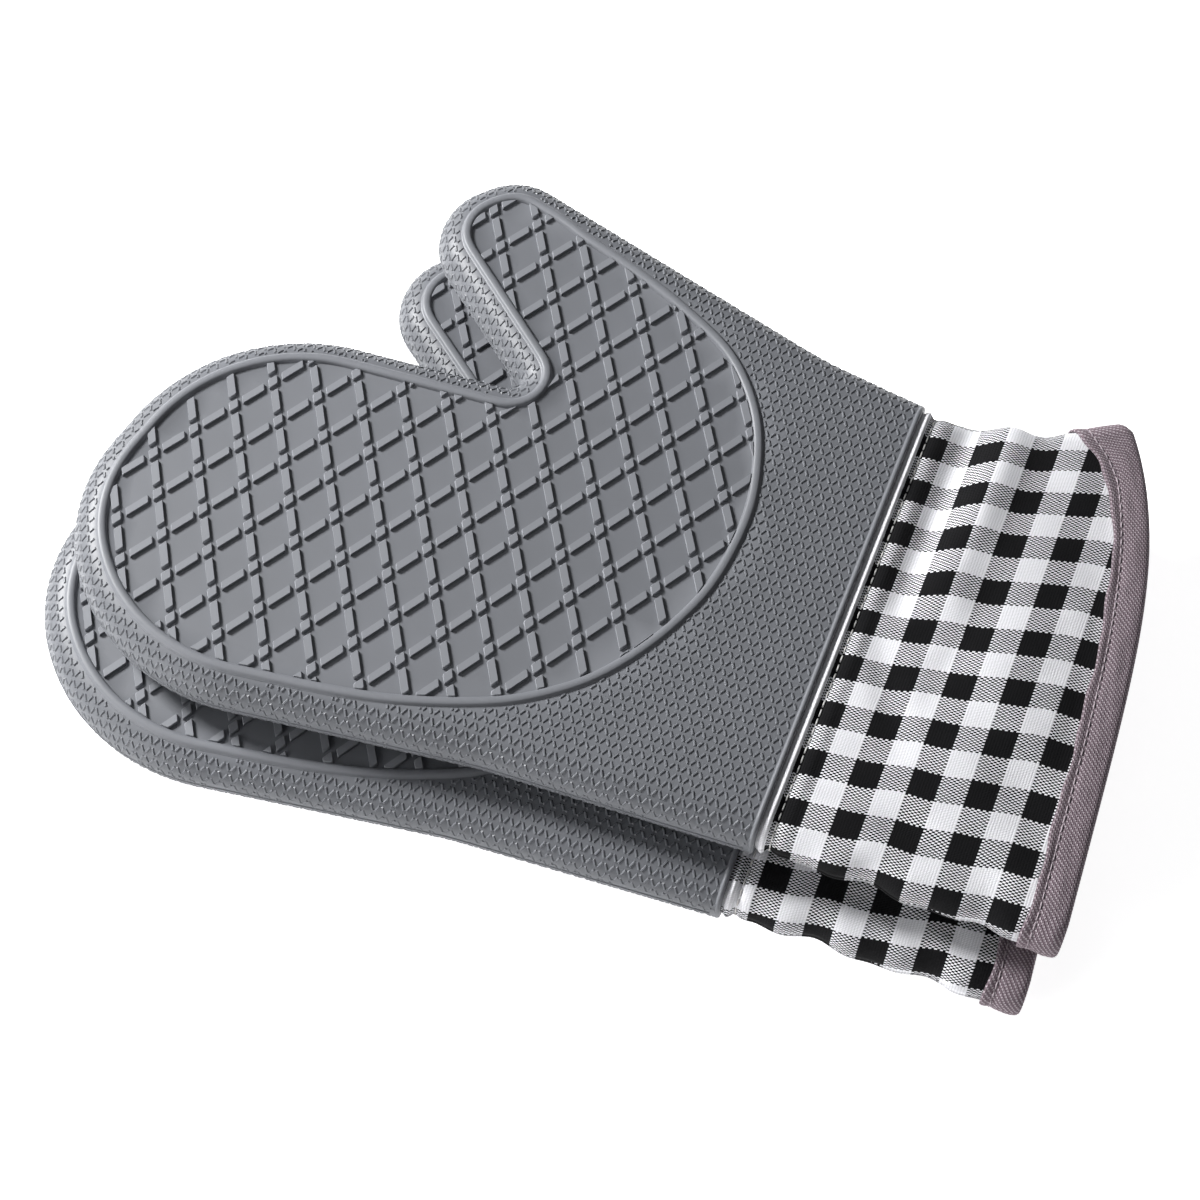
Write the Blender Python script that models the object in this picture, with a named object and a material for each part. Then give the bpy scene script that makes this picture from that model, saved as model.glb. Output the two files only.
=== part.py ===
"""A pair of silicone oven mitts with woven cotton cuffs, one lying on the other.

Units are metres, +Z is up. +X runs from the fingertips to the cuff and +Y to the thumb.
Each mitt is built in its own frame: origin at the middle of the silicone hem, on the plane
halfway through the mitt. Every layer follows one centre line, the middle of the rounded rim,
and differs only in its radius about that line.
"""
import math

import bpy
from mathutils import Vector
from mathutils.geometry import delaunay_2d_cdt

# ---- silicone hand -----------------------------------------------------------------------
HAND_LENGTH = 0.2475          # hem to fingertip, outside
WRIST_WIDTH = 0.168           # across the silicone at the hem, outside
FINGER_WIDTH = 0.137          # across the fingers, outside
FINGER_DROP = 0.0195          # how far the finger side runs below the wrist side
PALM_LENGTH = 0.088           # hem to the bend on the finger side
PALM_DROP = 0.0045            # how far that bend lies outside the wrist side
CROTCH_FROM_HEM = 0.0995      # hem to the fork between thumb and fingers
CROTCH_ABOVE_FINGERS = 0.0095 # the fork lies beyond the line of the fingers' thumb side
THUMB_REACH = 0.174           # hem to the thumb's tip
THUMB_TIP_ACROSS = 0.0257     # from the inner to the outer corner of the thumb's tip
THUMB_TIP_ANGLE = math.radians(45.8)
THUMB_SPREAD = 0.061          # the tip's inner corner stands this far beyond the fork
THUMB_ROOT_LENGTH = 0.038     # hem to the bend on the thumb side
THUMB_ROOT_RISE = 0.0055      # how far that bend lies outside the wrist side

# rounding of the centre line at each corner
PALM_BEND_RADIUS = 0.100
FINGER_NEAR_RADIUS = 0.060
FINGERTIP_RADIUS = 0.047
FINGER_FAR_RADIUS = 0.055
CROTCH_RADIUS = 0.012
THUMB_INNER_RADIUS = 0.014
THUMB_OUTER_RADIUS = 0.011
THUMB_ROOT_RADIUS = 0.150

# ---- layers, from the outside in -----------------------------------------------------------
RIM_RADIUS = 0.010            # half the thickness of the mitt at its rim
LAYER_GAP = 0.0003            # clearance between touching layers
SHELL_WALL = 0.0022
WADDING_THICKNESS = 0.0020
LINING_THICKNESS = 0.0008

# ---- cuff ----------------------------------------------------------------------------------
CUFF_LENGTH = 0.0940          # silicone hem to the cuff's edge on the finger side
CUFF_TUCK = 0.0147            # length of cuff sewn in under the silicone
HEM_LEAN = 0.008              # steady shortening of the edge towards the thumb side
HEM_CUTBACK = 0.024           # further shortening where the edge curves back at the thumb
HEM_CURVE_POWER = 6.0
CUFF_FLARE = 0.020            # widening of the cuff on the thumb side at its edge
CUFF_FLARE_POWER = 2.2
CUFF_THICKNESS = 0.0008
CUFF_LINING_THICKNESS = 0.0007
BINDING_WIDTH = 0.012
BINDING_THICKNESS = 0.0008

# ---- sewing thread ---------------------------------------------------------------------------
THREAD_DIAMETER = 0.0005
CUFF_SEAM_FROM_HEM = 0.0045   # row of stitches beside the silicone hem
BINDING_SEAM_INSET = 0.0030   # row of stitches beside the binding's inner edge

# ---- the pair ---------------------------------------------------------------------------------
UPPER_SHIFT = (0.0065, 0.0152)
UPPER_YAW = math.radians(-1.3)

# ---- mesh steps ---------------------------------------------------------------------------------
ARC_STEP = math.radians(18.0)
RIM_STEPS = 3                 # steps in each quarter of the rounded rim
CUFF_STEPS = 3
CUFF_ACROSS_STEPS = 8
THREAD_SIDES = 4

# ---- colours: base colour, roughness -------------------------------------------------------------
FINISHES = {
    "grey_silicone": ((0.185, 0.195, 0.205), 0.48),
    "polyester_wadding": ((0.85, 0.85, 0.82), 0.95),
    "white_cotton": ((0.82, 0.82, 0.84), 0.90),
    "gingham_cotton": ((0.42, 0.42, 0.44), 0.90),
    "mauve_twill": ((0.20, 0.155, 0.175), 0.90),
    "sewing_thread": ((0.80, 0.78, 0.76), 0.70),
}


def clear_scene():
    """Remove whatever the scene holds."""
    for obj in list(bpy.data.objects):
        bpy.data.objects.remove(obj, do_unlink=True)


def make_finish(name):
    """One plain Principled material from the table of finishes."""
    colour, roughness = FINISHES[name]
    material = bpy.data.materials.new(name)
    material.use_nodes = True
    shader = material.node_tree.nodes["Principled BSDF"]
    shader.inputs["Base Color"].default_value = (*colour, 1.0)
    shader.inputs["Roughness"].default_value = roughness
    shader.inputs["Metallic"].default_value = 0.0
    return material


# ---- the centre line -------------------------------------------------------------------------

def wrist_half():
    """Half the width between the two side centre lines at the hem."""
    return WRIST_WIDTH / 2.0 - RIM_RADIUS


def hand_corners():
    """Corners of the centre line from the finger side of the hem round to the thumb side."""
    half = wrist_half()
    tip = -(HAND_LENGTH - RIM_RADIUS)
    finger_near = -half - FINGER_DROP
    finger_far = finger_near + FINGER_WIDTH - 2.0 * RIM_RADIUS
    fork = (-CROTCH_FROM_HEM, finger_far + CROTCH_ABOVE_FINGERS)
    thumb_inner = (-THUMB_REACH, fork[1] + THUMB_SPREAD)
    thumb_outer = (thumb_inner[0] + THUMB_TIP_ACROSS * math.cos(THUMB_TIP_ANGLE),
                   thumb_inner[1] + THUMB_TIP_ACROSS * math.sin(THUMB_TIP_ANGLE))
    return [
        ((0.0, -half), 0.0),
        ((-PALM_LENGTH, -half - PALM_DROP), PALM_BEND_RADIUS),
        ((tip + FINGER_WIDTH * 0.274, finger_near), FINGER_NEAR_RADIUS),
        ((tip, finger_near + FINGER_WIDTH * 0.314), FINGERTIP_RADIUS),
        ((tip + FINGER_WIDTH * 0.11, finger_far), FINGER_FAR_RADIUS),
        (fork, CROTCH_RADIUS),
        (thumb_inner, THUMB_INNER_RADIUS),
        (thumb_outer, THUMB_OUTER_RADIUS),
        ((-THUMB_ROOT_LENGTH, half + THUMB_ROOT_RISE), THUMB_ROOT_RADIUS),
        ((0.0, half), 0.0),
    ]


def fillet(before, corner, after, radius):
    """Points and outward normals of the arc that rounds one corner."""
    back = (before - corner).normalized()
    ahead = (after - corner).normalized()
    half_angle = back.angle(ahead) / 2.0
    reach = radius / math.tan(half_angle)
    centre = corner + (back + ahead).normalized() * (radius / math.sin(half_angle))
    start = corner + back * reach - centre
    turn = math.pi - 2.0 * half_angle
    convex = (corner - before).cross(after - corner) < 0.0
    sign = -1.0 if convex else 1.0
    steps = max(1, round(turn / ARC_STEP))
    points = []
    for step in range(steps + 1):
        angle = sign * turn * step / steps
        arm = Vector((start.x * math.cos(angle) - start.y * math.sin(angle),
                      start.x * math.sin(angle) + start.y * math.cos(angle)))
        points.append((centre + arm, arm.normalized() * -sign))
    return points


def centre_line(mouth_x):
    """Points and outward normals of the centre line, cut off square at mouth_x."""
    corners = [(Vector(place), radius) for place, radius in hand_corners()]
    line = []
    for end, inner in ((0, 1), (-1, -2)):
        foot, knee = corners[end][0], corners[inner][0]
        place = foot.lerp(knee, (mouth_x - foot.x) / (knee.x - foot.x))
        side = -1.0 if end == 0 else 1.0
        along = (knee - foot).normalized()
        line.append((place, Vector((0.0, side / abs(along.x)))))
    middle = []
    for index in range(1, len(corners) - 1):
        middle += fillet(corners[index - 1][0], corners[index][0],
                         corners[index + 1][0], corners[index][1])
    return [line[0]] + middle + [line[1]]


# ---- sheets and solids -----------------------------------------------------------------------

def fill_outline(outline):
    """Triangles inside a closed outline, between its own points."""
    loop = range(len(outline))
    edges = [(index, (index + 1) % len(outline)) for index in loop]
    result = delaunay_2d_cdt(outline, edges, [], 1, 1e-6)
    if len(result[0]) != len(outline):
        raise ValueError("the outline crosses itself")
    origins = [source[0] for source in result[3]]
    return [tuple(origins[corner] for corner in triangle) for triangle in result[2]]


def boundary_edges(faces):
    """Edges that only one face uses, in that face's direction."""
    used = {(face[i], face[(i + 1) % len(face)]) for face in faces for i in range(len(face))}
    return sorted(edge for edge in used if (edge[1], edge[0]) not in used)


def thicken(name, faces, outer, inner, finish, parent):
    """A closed solid between two surfaces that share one net of faces."""
    shift = len(outer)
    solid = list(faces)
    solid += [tuple(corner + shift for corner in reversed(face)) for face in faces]
    solid += [(b, a, a + shift, b + shift) for a, b in boundary_edges(faces)]
    mesh = bpy.data.meshes.new(name)
    mesh.from_pydata([tuple(point) for point in outer + inner], [], solid)
    mesh.update()
    mesh.shade_smooth()
    mesh.set_sharp_from_angle(angle=math.radians(50.0))
    obj = bpy.data.objects.new(name, mesh)
    bpy.context.collection.objects.link(obj)
    mesh.materials.append(finish)
    obj.parent = parent
    return obj


# ---- hand layers -------------------------------------------------------------------------------

def hand_net(mouth_x, first_row, last_row):
    """Faces of one hand layer, and a function that places its points at a radius.

    Rows of the rim run from -RIM_STEPS at its bottom to +RIM_STEPS at its top. A layer that
    reaches either end also has the flat face there.
    """
    line = centre_line(mouth_x)
    count = len(line)
    rows = range(first_row, last_row + 1)
    faces = []
    for row in range(len(rows) - 1):
        for index in range(count - 1):
            corner = row * count + index
            faces.append((corner + 1, corner, corner + count, corner + count + 1))
    triangles = fill_outline([spot for spot, _ in line])
    if first_row == -RIM_STEPS:
        faces += [tuple(reversed(triangle)) for triangle in triangles]
    if last_row == RIM_STEPS:
        top = (len(rows) - 1) * count
        faces += [tuple(top + corner for corner in triangle) for triangle in triangles]

    def place(radius):
        """Every point of the net on the surface at this radius."""
        points = []
        for row in rows:
            angle = rim_angle(row, radius, first_row, last_row)
            for spot, normal in line:
                flat = spot + normal * (radius * math.cos(angle))
                points.append(Vector((flat.x, flat.y, radius * math.sin(angle))))
        return points

    return faces, place


def rim_angle(row, radius, first_row, last_row):
    """Angle of a row round the rim; the row where two halves meet keeps half a gap away."""
    if row == 0 and first_row == 0:
        return math.asin(LAYER_GAP / 2.0 / radius)
    if row == 0 and last_row == 0:
        return -math.asin(LAYER_GAP / 2.0 / radius)
    return math.pi / 2.0 * row / RIM_STEPS


def make_hand_layer(name, radius, thickness, mouth_x, side, finish, parent):
    """One layer of the hand: side 0 is a whole sleeve, +1 its top half, -1 its bottom half."""
    first = 0 if side > 0 else -RIM_STEPS
    last = 0 if side < 0 else RIM_STEPS
    faces, place = hand_net(mouth_x, first, last)
    return thicken(name, faces, place(radius), place(radius - thickness), finish, parent)


# ---- cuff layers --------------------------------------------------------------------------------

def hem_x(share):
    """Where the cuff's edge lies along X, from the finger side (0) to the thumb side (1)."""
    return CUFF_LENGTH - HEM_LEAN * share - HEM_CUTBACK * share ** HEM_CURVE_POWER


def hem_slant(share):
    """Length along X of a unit width measured square to the cuff's edge."""
    step = 0.01
    low, high = max(share - step, 0.0), min(share + step, 1.0)
    run = (high - low) * 2.0 * wrist_half()
    return math.hypot(1.0, (hem_x(high) - hem_x(low)) / run)


def cuff_side(x, side):
    """Centre line of the cuff's side: it carries on the shell's side, then flares."""
    line = hand_corners()
    foot, knee = (line[0][0], line[1][0]) if side < 0.0 else (line[-1][0], line[-2][0])
    if x <= 0.0:
        return foot[1] + (knee[1] - foot[1]) * (x - foot[0]) / (knee[0] - foot[0])
    if side < 0.0:
        return foot[1]
    return foot[1] + CUFF_FLARE * (x / hem_x(1.0)) ** CUFF_FLARE_POWER


def loop_shares(first, last):
    """Places round the cuff as (share across, angle round the rim), between two side seams.

    Counted from the finger side seam: 0 to 1 crosses the top to the thumb side seam and 1 to 2
    comes back along the bottom.
    """
    quarter = [math.pi / 2.0 * step / RIM_STEPS for step in range(RIM_STEPS + 1)]
    across = [step / CUFF_ACROSS_STEPS for step in range(1, CUFF_ACROSS_STEPS)]
    top = [(0.0, angle) for angle in quarter]
    top += [(share, math.pi / 2.0) for share in across]
    top += [(1.0, angle) for angle in reversed(quarter)]
    bottom = [(share, -angle) for share, angle in reversed(top)]
    if (first, last) == (0, 1):
        return top
    if (first, last) == (1, 2):
        return bottom
    return top[:-1] + bottom[:-1]


def cuff_point(x_of, share, angle, radius, halves):
    """A point of a cuff layer at its radius; x_of gives X for a share across."""
    x = x_of(share)
    low, high = cuff_side(x, -1.0), cuff_side(x, 1.0)
    if halves and abs(angle) < 1e-9:
        angle = math.asin(LAYER_GAP / 2.0 / radius) * halves
    y = low + (high - low) * share
    if share == 0.0:
        y -= radius * math.cos(angle)
    if share == 1.0:
        y += radius * math.cos(angle)
    return Vector((x, y, radius * math.sin(angle)))


def cuff_layer(name, rings, first, last, finish, parent):
    """A solid from rings of (x function, outer radius, inner radius) along the cuff."""
    loop = loop_shares(first, last)
    closed = last - first == 2
    halves = 0 if closed else (1 if first == 0 else -1)
    count = len(loop)
    faces = []
    for ring in range(len(rings) - 1):
        for index in range(count if closed else count - 1):
            after = (index + 1) % count
            faces.append((ring * count + index, (ring + 1) * count + index,
                          (ring + 1) * count + after, ring * count + after))
    outer, inner = [], []
    for x_outer, x_inner, radius_outer, radius_inner in rings:
        outer += [cuff_point(x_outer, s, a, radius_outer, halves) for s, a in loop]
        inner += [cuff_point(x_inner, s, a, radius_inner, halves) for s, a in loop]
    return thicken(name, faces, outer, inner, finish, parent)


def beside_hem(share):
    """The row of stitches beside the silicone hem."""
    return CUFF_SEAM_FROM_HEM


def leaf_end(share):
    """The inner edge of the binding."""
    return hem_x(share) - BINDING_WIDTH * hem_slant(share)


def beside_binding(share):
    """The row of stitches beside the binding's inner edge."""
    return hem_x(share) - (BINDING_WIDTH - BINDING_SEAM_INSET) * hem_slant(share)


def between(start, end, part):
    """A line across the cuff partway between two others."""
    return lambda share: start(share) + (end(share) - start(share)) * part


def cuff_stations():
    """Lines across the cuff from its tucked end to its edge, through every seam."""
    tail = [lambda share: -CUFF_TUCK, lambda share: 0.0]
    open_cloth = [between(beside_hem, leaf_end, step / CUFF_STEPS)
                  for step in range(CUFF_STEPS + 1)]
    cut_edge = [lambda share: hem_x(share) - BINDING_THICKNESS - LAYER_GAP]
    return tail + open_cloth + [beside_binding] + cut_edge


def make_cuff_sheet(name, radius, thickness, first, last, finish, parent):
    """A cuff layer from its tucked end to its cut edge, inside the binding's fold."""
    rings = [(x_of, x_of, radius, radius - thickness) for x_of in cuff_stations()]
    return cuff_layer(name, rings, first, last, finish, parent)


def make_binding(name, radius, stack, finish, parent):
    """The tape folded over the cuff's edge: outer leaf, fold and inner leaf in one ring."""
    def fold_inner(share):
        return hem_x(share) - BINDING_THICKNESS

    outside = radius + LAYER_GAP + BINDING_THICKNESS
    inside = radius - stack - LAYER_GAP - BINDING_THICKNESS
    outer_leaf = (outside, outside - BINDING_THICKNESS)
    inner_leaf = (inside, inside + BINDING_THICKNESS)
    rings = [
        (leaf_end, leaf_end, *outer_leaf),
        (beside_binding, beside_binding, *outer_leaf),
        (hem_x, fold_inner, *outer_leaf),
        (hem_x, fold_inner, *inner_leaf),
        (beside_binding, beside_binding, *inner_leaf),
        (leaf_end, leaf_end, *inner_leaf),
    ]
    return cuff_layer(name, rings, 0, 2, finish, parent)


def make_thread_ring(name, radius, x_of, finish, parent):
    """A row of stitches laid round the cuff as one closed cord on the cloth."""
    loop = loop_shares(0, 2)
    count = len(loop)
    centre_radius = radius + LAYER_GAP + THREAD_DIAMETER / 2.0
    verts, faces = [], []
    for share, angle in loop:
        for side in range(THREAD_SIDES):
            turn = 2.0 * math.pi * (side + 0.5) / THREAD_SIDES
            lift = THREAD_DIAMETER / 2.0 * math.sin(turn)
            spot = cuff_point(x_of, share, angle, centre_radius + lift, 0)
            spot.x += THREAD_DIAMETER / 2.0 * math.cos(turn)
            verts.append(spot)
    for index in range(count):
        after = (index + 1) % count
        for side in range(THREAD_SIDES):
            next_side = (side + 1) % THREAD_SIDES
            faces.append((index * THREAD_SIDES + side, after * THREAD_SIDES + side,
                          after * THREAD_SIDES + next_side, index * THREAD_SIDES + next_side))
    mesh = bpy.data.meshes.new(name)
    mesh.from_pydata([tuple(spot) for spot in verts], [], faces)
    mesh.update()
    mesh.shade_smooth()
    mesh.materials.append(finish)
    obj = bpy.data.objects.new(name, mesh)
    bpy.context.collection.objects.link(obj)
    obj.parent = parent
    return obj


# ---- one mitt and the pair ---------------------------------------------------------------------------

def make_mitt(prefix, finishes):
    """Every piece of one mitt, under an empty at the middle of its silicone hem."""
    frame = bpy.data.objects.new(prefix + "_frame", None)
    bpy.context.collection.objects.link(frame)
    wadding_radius = RIM_RADIUS - SHELL_WALL - LAYER_GAP
    lining_radius = wadding_radius - WADDING_THICKNESS - LAYER_GAP
    inner_mouth = -CUFF_TUCK - LAYER_GAP
    cuff_radius = wadding_radius
    cuff_lining_radius = cuff_radius - CUFF_THICKNESS - LAYER_GAP
    cuff_stack = CUFF_THICKNESS + LAYER_GAP + CUFF_LINING_THICKNESS

    make_hand_layer(prefix + "_silicone_shell", RIM_RADIUS, SHELL_WALL, 0.0, 0,
                    finishes["grey_silicone"], frame)
    for side, place in ((1, "back"), (-1, "palm")):
        make_hand_layer(f"{prefix}_wadding_{place}", wadding_radius, WADDING_THICKNESS,
                        inner_mouth, side, finishes["polyester_wadding"], frame)
        make_hand_layer(f"{prefix}_lining_{place}", lining_radius, LINING_THICKNESS,
                        inner_mouth, side, finishes["white_cotton"], frame)
    make_cuff_sheet(prefix + "_cuff_front", cuff_radius, CUFF_THICKNESS, 0, 1,
                    finishes["gingham_cotton"], frame)
    make_cuff_sheet(prefix + "_cuff_back", cuff_radius, CUFF_THICKNESS, 1, 2,
                    finishes["gingham_cotton"], frame)
    make_cuff_sheet(prefix + "_cuff_lining", cuff_lining_radius, CUFF_LINING_THICKNESS, 0, 2,
                    finishes["white_cotton"], frame)
    make_binding(prefix + "_hem_binding", cuff_radius, cuff_stack,
                 finishes["mauve_twill"], frame)
    make_thread_ring(prefix + "_cuff_stitching", cuff_radius, beside_hem,
                     finishes["sewing_thread"], frame)
    make_thread_ring(prefix + "_binding_stitching", cuff_radius + LAYER_GAP + BINDING_THICKNESS,
                     beside_binding, finishes["sewing_thread"], frame)
    return frame


def lay_down(lower, upper):
    """Lay the lower mitt on Z = 0 and the upper one on it, centred on the origin."""
    lower.location = (0.0, 0.0, RIM_RADIUS)
    upper.location = (*UPPER_SHIFT, 3.0 * RIM_RADIUS + LAYER_GAP)
    upper.rotation_euler = (0.0, 0.0, UPPER_YAW)
    bpy.context.view_layer.update()
    corners = [obj.matrix_world @ vert.co for obj in bpy.data.objects if obj.type == "MESH"
               for vert in obj.data.vertices]
    for axis in (0, 1):
        middle = (min(c[axis] for c in corners) + max(c[axis] for c in corners)) / 2.0
        lower.location[axis] -= middle
        upper.location[axis] -= middle


def main():
    clear_scene()
    finishes = {name: make_finish(name) for name in FINISHES}
    lower = make_mitt("lower", finishes)
    upper = make_mitt("upper", finishes)
    lay_down(lower, upper)
    bpy.context.view_layer.update()


main()
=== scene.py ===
"""A pair of silicone oven mitts with gingham cuffs, one lying on the other, built round the CAD frame.

Sizes inside the classes are in millimetres, in each mitt's own frame: origin at the middle of the
silicone hem on the plane halfway through the mitt, fingertips towards -X, thumb towards +Y.
"""
from __future__ import annotations

import logging
import math
from dataclasses import dataclass, field
from enum import Enum
from typing import ClassVar, Iterable, Sequence

import bpy
import numpy as np
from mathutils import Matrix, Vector
from mathutils.geometry import delaunay_2d_cdt


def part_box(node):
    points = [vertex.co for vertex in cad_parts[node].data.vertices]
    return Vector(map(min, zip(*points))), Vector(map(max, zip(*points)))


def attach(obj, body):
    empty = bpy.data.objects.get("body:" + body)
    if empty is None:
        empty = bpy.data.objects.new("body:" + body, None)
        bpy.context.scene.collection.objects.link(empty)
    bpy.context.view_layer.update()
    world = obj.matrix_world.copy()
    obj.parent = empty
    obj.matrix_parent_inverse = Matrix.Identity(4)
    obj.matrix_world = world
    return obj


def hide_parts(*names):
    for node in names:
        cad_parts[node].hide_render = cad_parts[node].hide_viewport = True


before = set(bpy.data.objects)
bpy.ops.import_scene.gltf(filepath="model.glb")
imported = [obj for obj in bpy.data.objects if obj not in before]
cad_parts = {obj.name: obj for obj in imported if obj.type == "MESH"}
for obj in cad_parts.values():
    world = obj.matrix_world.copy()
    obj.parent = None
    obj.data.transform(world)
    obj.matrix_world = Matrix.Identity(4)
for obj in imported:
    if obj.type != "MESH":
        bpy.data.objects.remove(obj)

LOG = logging.getLogger("oven_mitts")
METRES = 0.001
QUARTER = math.pi / 2.0
SPLIT_GAP = 0.15  # half the gap between a front and a back piece, in millimetres
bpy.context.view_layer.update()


class Face(Enum):
    """Which side of a mitt a half-layer covers."""

    BACK = 1
    PALM = -1


class Weave(Enum):
    """How many yarns a float passes over, out of how many in the repeat."""

    PLAIN = (1, 2)
    TWILL = (2, 3)


# ---- small tools --------------------------------------------------------------------------------


def linear(code: str) -> tuple[float, float, float, float]:
    """Turn an sRGB hex colour into the linear values a shader takes.

    Args:
        code: six hex digits with a leading hash.

    Returns:
        Red, green, blue and a full alpha.
    """
    values = [int(code[place : place + 2], 16) / 255.0 for place in (1, 3, 5)]
    bent = [v / 12.92 if v <= 0.04045 else ((v + 0.055) / 1.055) ** 2.4 for v in values]
    return (bent[0], bent[1], bent[2], 1.0)


def feed(tree: bpy.types.NodeTree, node: bpy.types.Node, inputs: dict[str | int, object]) -> None:
    """Wire or set a node's inputs.

    Args:
        tree: the node tree that holds it.
        node: the node.
        inputs: by the input's name or number, a socket to link or a value to set.
    """
    for spot, value in inputs.items():
        if isinstance(value, bpy.types.NodeSocket):
            tree.links.new(value, node.inputs[spot])
        else:
            node.inputs[spot].default_value = value


def add_node(tree: bpy.types.NodeTree, kind: str, settings: dict | None = None, **links: object) -> bpy.types.Node:
    """Add one node, set it up and wire its inputs.

    Args:
        tree: the node tree that takes it.
        kind: the node's type name.
        settings: attributes to set on the node, such as its operation.
        **links: input name or "i0", "i1", ... to a socket to link or a value to set.

    Returns:
        The new node.
    """
    node = tree.nodes.new(kind)
    for key, value in (settings or {}).items():
        setattr(node, key, value)
    for key, value in links.items():
        spot = int(key[1:]) if key[0] == "i" and key[1:].isdigit() else key.replace("_", " ")
        feed(tree, node, {spot: value})
    return node


def blend(
    tree: bpy.types.NodeTree, share: object, first: object, second: object, **settings: str
) -> bpy.types.NodeSocket:
    """Mix two colours.

    Args:
        tree: the node tree that takes the mix.
        share: how much of the second shows.
        first: a hex code or a socket.
        second: a hex code or a socket.
        **settings: further settings of the mix, such as its blend_type.

    Returns:
        The mixed colour.
    """
    one, two = (linear(end) if isinstance(end, str) else end for end in (first, second))
    return add_node(tree, "ShaderNodeMix", {"data_type": "RGBA", **settings}, i0=share, i6=one, i7=two).outputs[2]


def start_material(name: str) -> tuple[bpy.types.Material, bpy.types.NodeTree, bpy.types.Node]:
    """A new material, its node tree and its shader."""
    material = bpy.data.materials.new(name)
    material.use_nodes = True
    return material, material.node_tree, material.node_tree.nodes["Principled BSDF"]


def smooth_noise(points: np.ndarray, scale: float, seed: float) -> np.ndarray:
    """A soft wandering value between about -1 and 1, from a sum of turned waves.

    Args:
        points: places in the plane, one per row.
        scale: the wavelength of the slowest wave, in millimetres.
        seed: any number, which moves the pattern.

    Returns:
        One value per place.
    """
    total = np.zeros(len(points))
    for index in range(7):
        turn = seed * 1.7 + index * 2.399
        wave = 2.0 * math.pi / (scale * (0.55 + 0.17 * index))
        run = points[:, 0] * math.cos(turn) + points[:, 1] * math.sin(turn)
        total += np.sin(run * wave + seed * 5.1 + index * 1.3)
    return total / 4.0


def bell(values: np.ndarray, middle: float, width: float) -> np.ndarray:
    """A smooth hump of height 1 about a middle."""
    return np.exp(-(((values - middle) / width) ** 2))


def unit(rows: np.ndarray) -> np.ndarray:
    """Each row scaled to a length of one."""
    return rows / np.linalg.norm(rows, axis=1)[:, None]


def left_of(along: np.ndarray) -> np.ndarray:
    """Directions in the plane turned a quarter to the left."""
    return np.stack([-along[:, 1], along[:, 0]], axis=1)


def run_along(points: np.ndarray) -> np.ndarray:
    """Distance along a polyline from its first point to each of its points."""
    return np.concatenate([[0.0], np.cumsum(np.linalg.norm(np.diff(points, axis=0), axis=1))])


def raised(places: np.ndarray, height: np.ndarray | float) -> np.ndarray:
    """Places in the plane lifted to a height, or each to its own."""
    return np.column_stack([places, np.broadcast_to(height, len(places))])


def grid_faces(rows: int, cols: int, wrap_rows: bool = False, wrap_cols: bool = False) -> np.ndarray:
    """Four-cornered faces of a net of rows and columns.

    Args:
        rows: rows of points.
        cols: points in each row.
        wrap_rows: joins the last row to the first.
        wrap_cols: joins the last column to the first.

    Returns:
        An array with four point numbers per face.
    """
    r = np.arange(rows if wrap_rows else rows - 1)[:, None]
    c = np.arange(cols if wrap_cols else cols - 1)[None, :]
    r2, c2 = (r + 1) % rows, (c + 1) % cols
    corners = np.stack([r * cols + c, r2 * cols + c, r2 * cols + c2, r * cols + c2], axis=-1)
    return corners.reshape(-1, 4)


def grid_cloth(u: np.ndarray, v: np.ndarray) -> np.ndarray:
    """Cloth coordinates at the four corners of each face of a net, from one more line than it has faces.

    Args:
        u: first coordinate at every row and column line.
        v: second coordinate at every row and column line.

    Returns:
        An array of faces by four corners by two coordinates, in the order of grid_faces.
    """
    both = np.stack([u, v], axis=-1)
    corners = [both[:-1, :-1], both[1:, :-1], both[1:, 1:], both[:-1, 1:]]
    return np.stack(corners, axis=2).reshape(-1, 4, 2)


@dataclass(frozen=True)
class Placement:
    """Where a mitt lies in the shared frame."""

    origin: tuple[float, float, float]
    yaw: float

    def world(self, points: np.ndarray) -> np.ndarray:
        """Millimetres in the mitt's frame to metres in the shared frame."""
        c, s = math.cos(self.yaw), math.sin(self.yaw)
        turn = np.array([[c, -s, 0.0], [s, c, 0.0], [0.0, 0.0, 1.0]])
        return points @ turn.T * METRES + np.array(self.origin)


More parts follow.
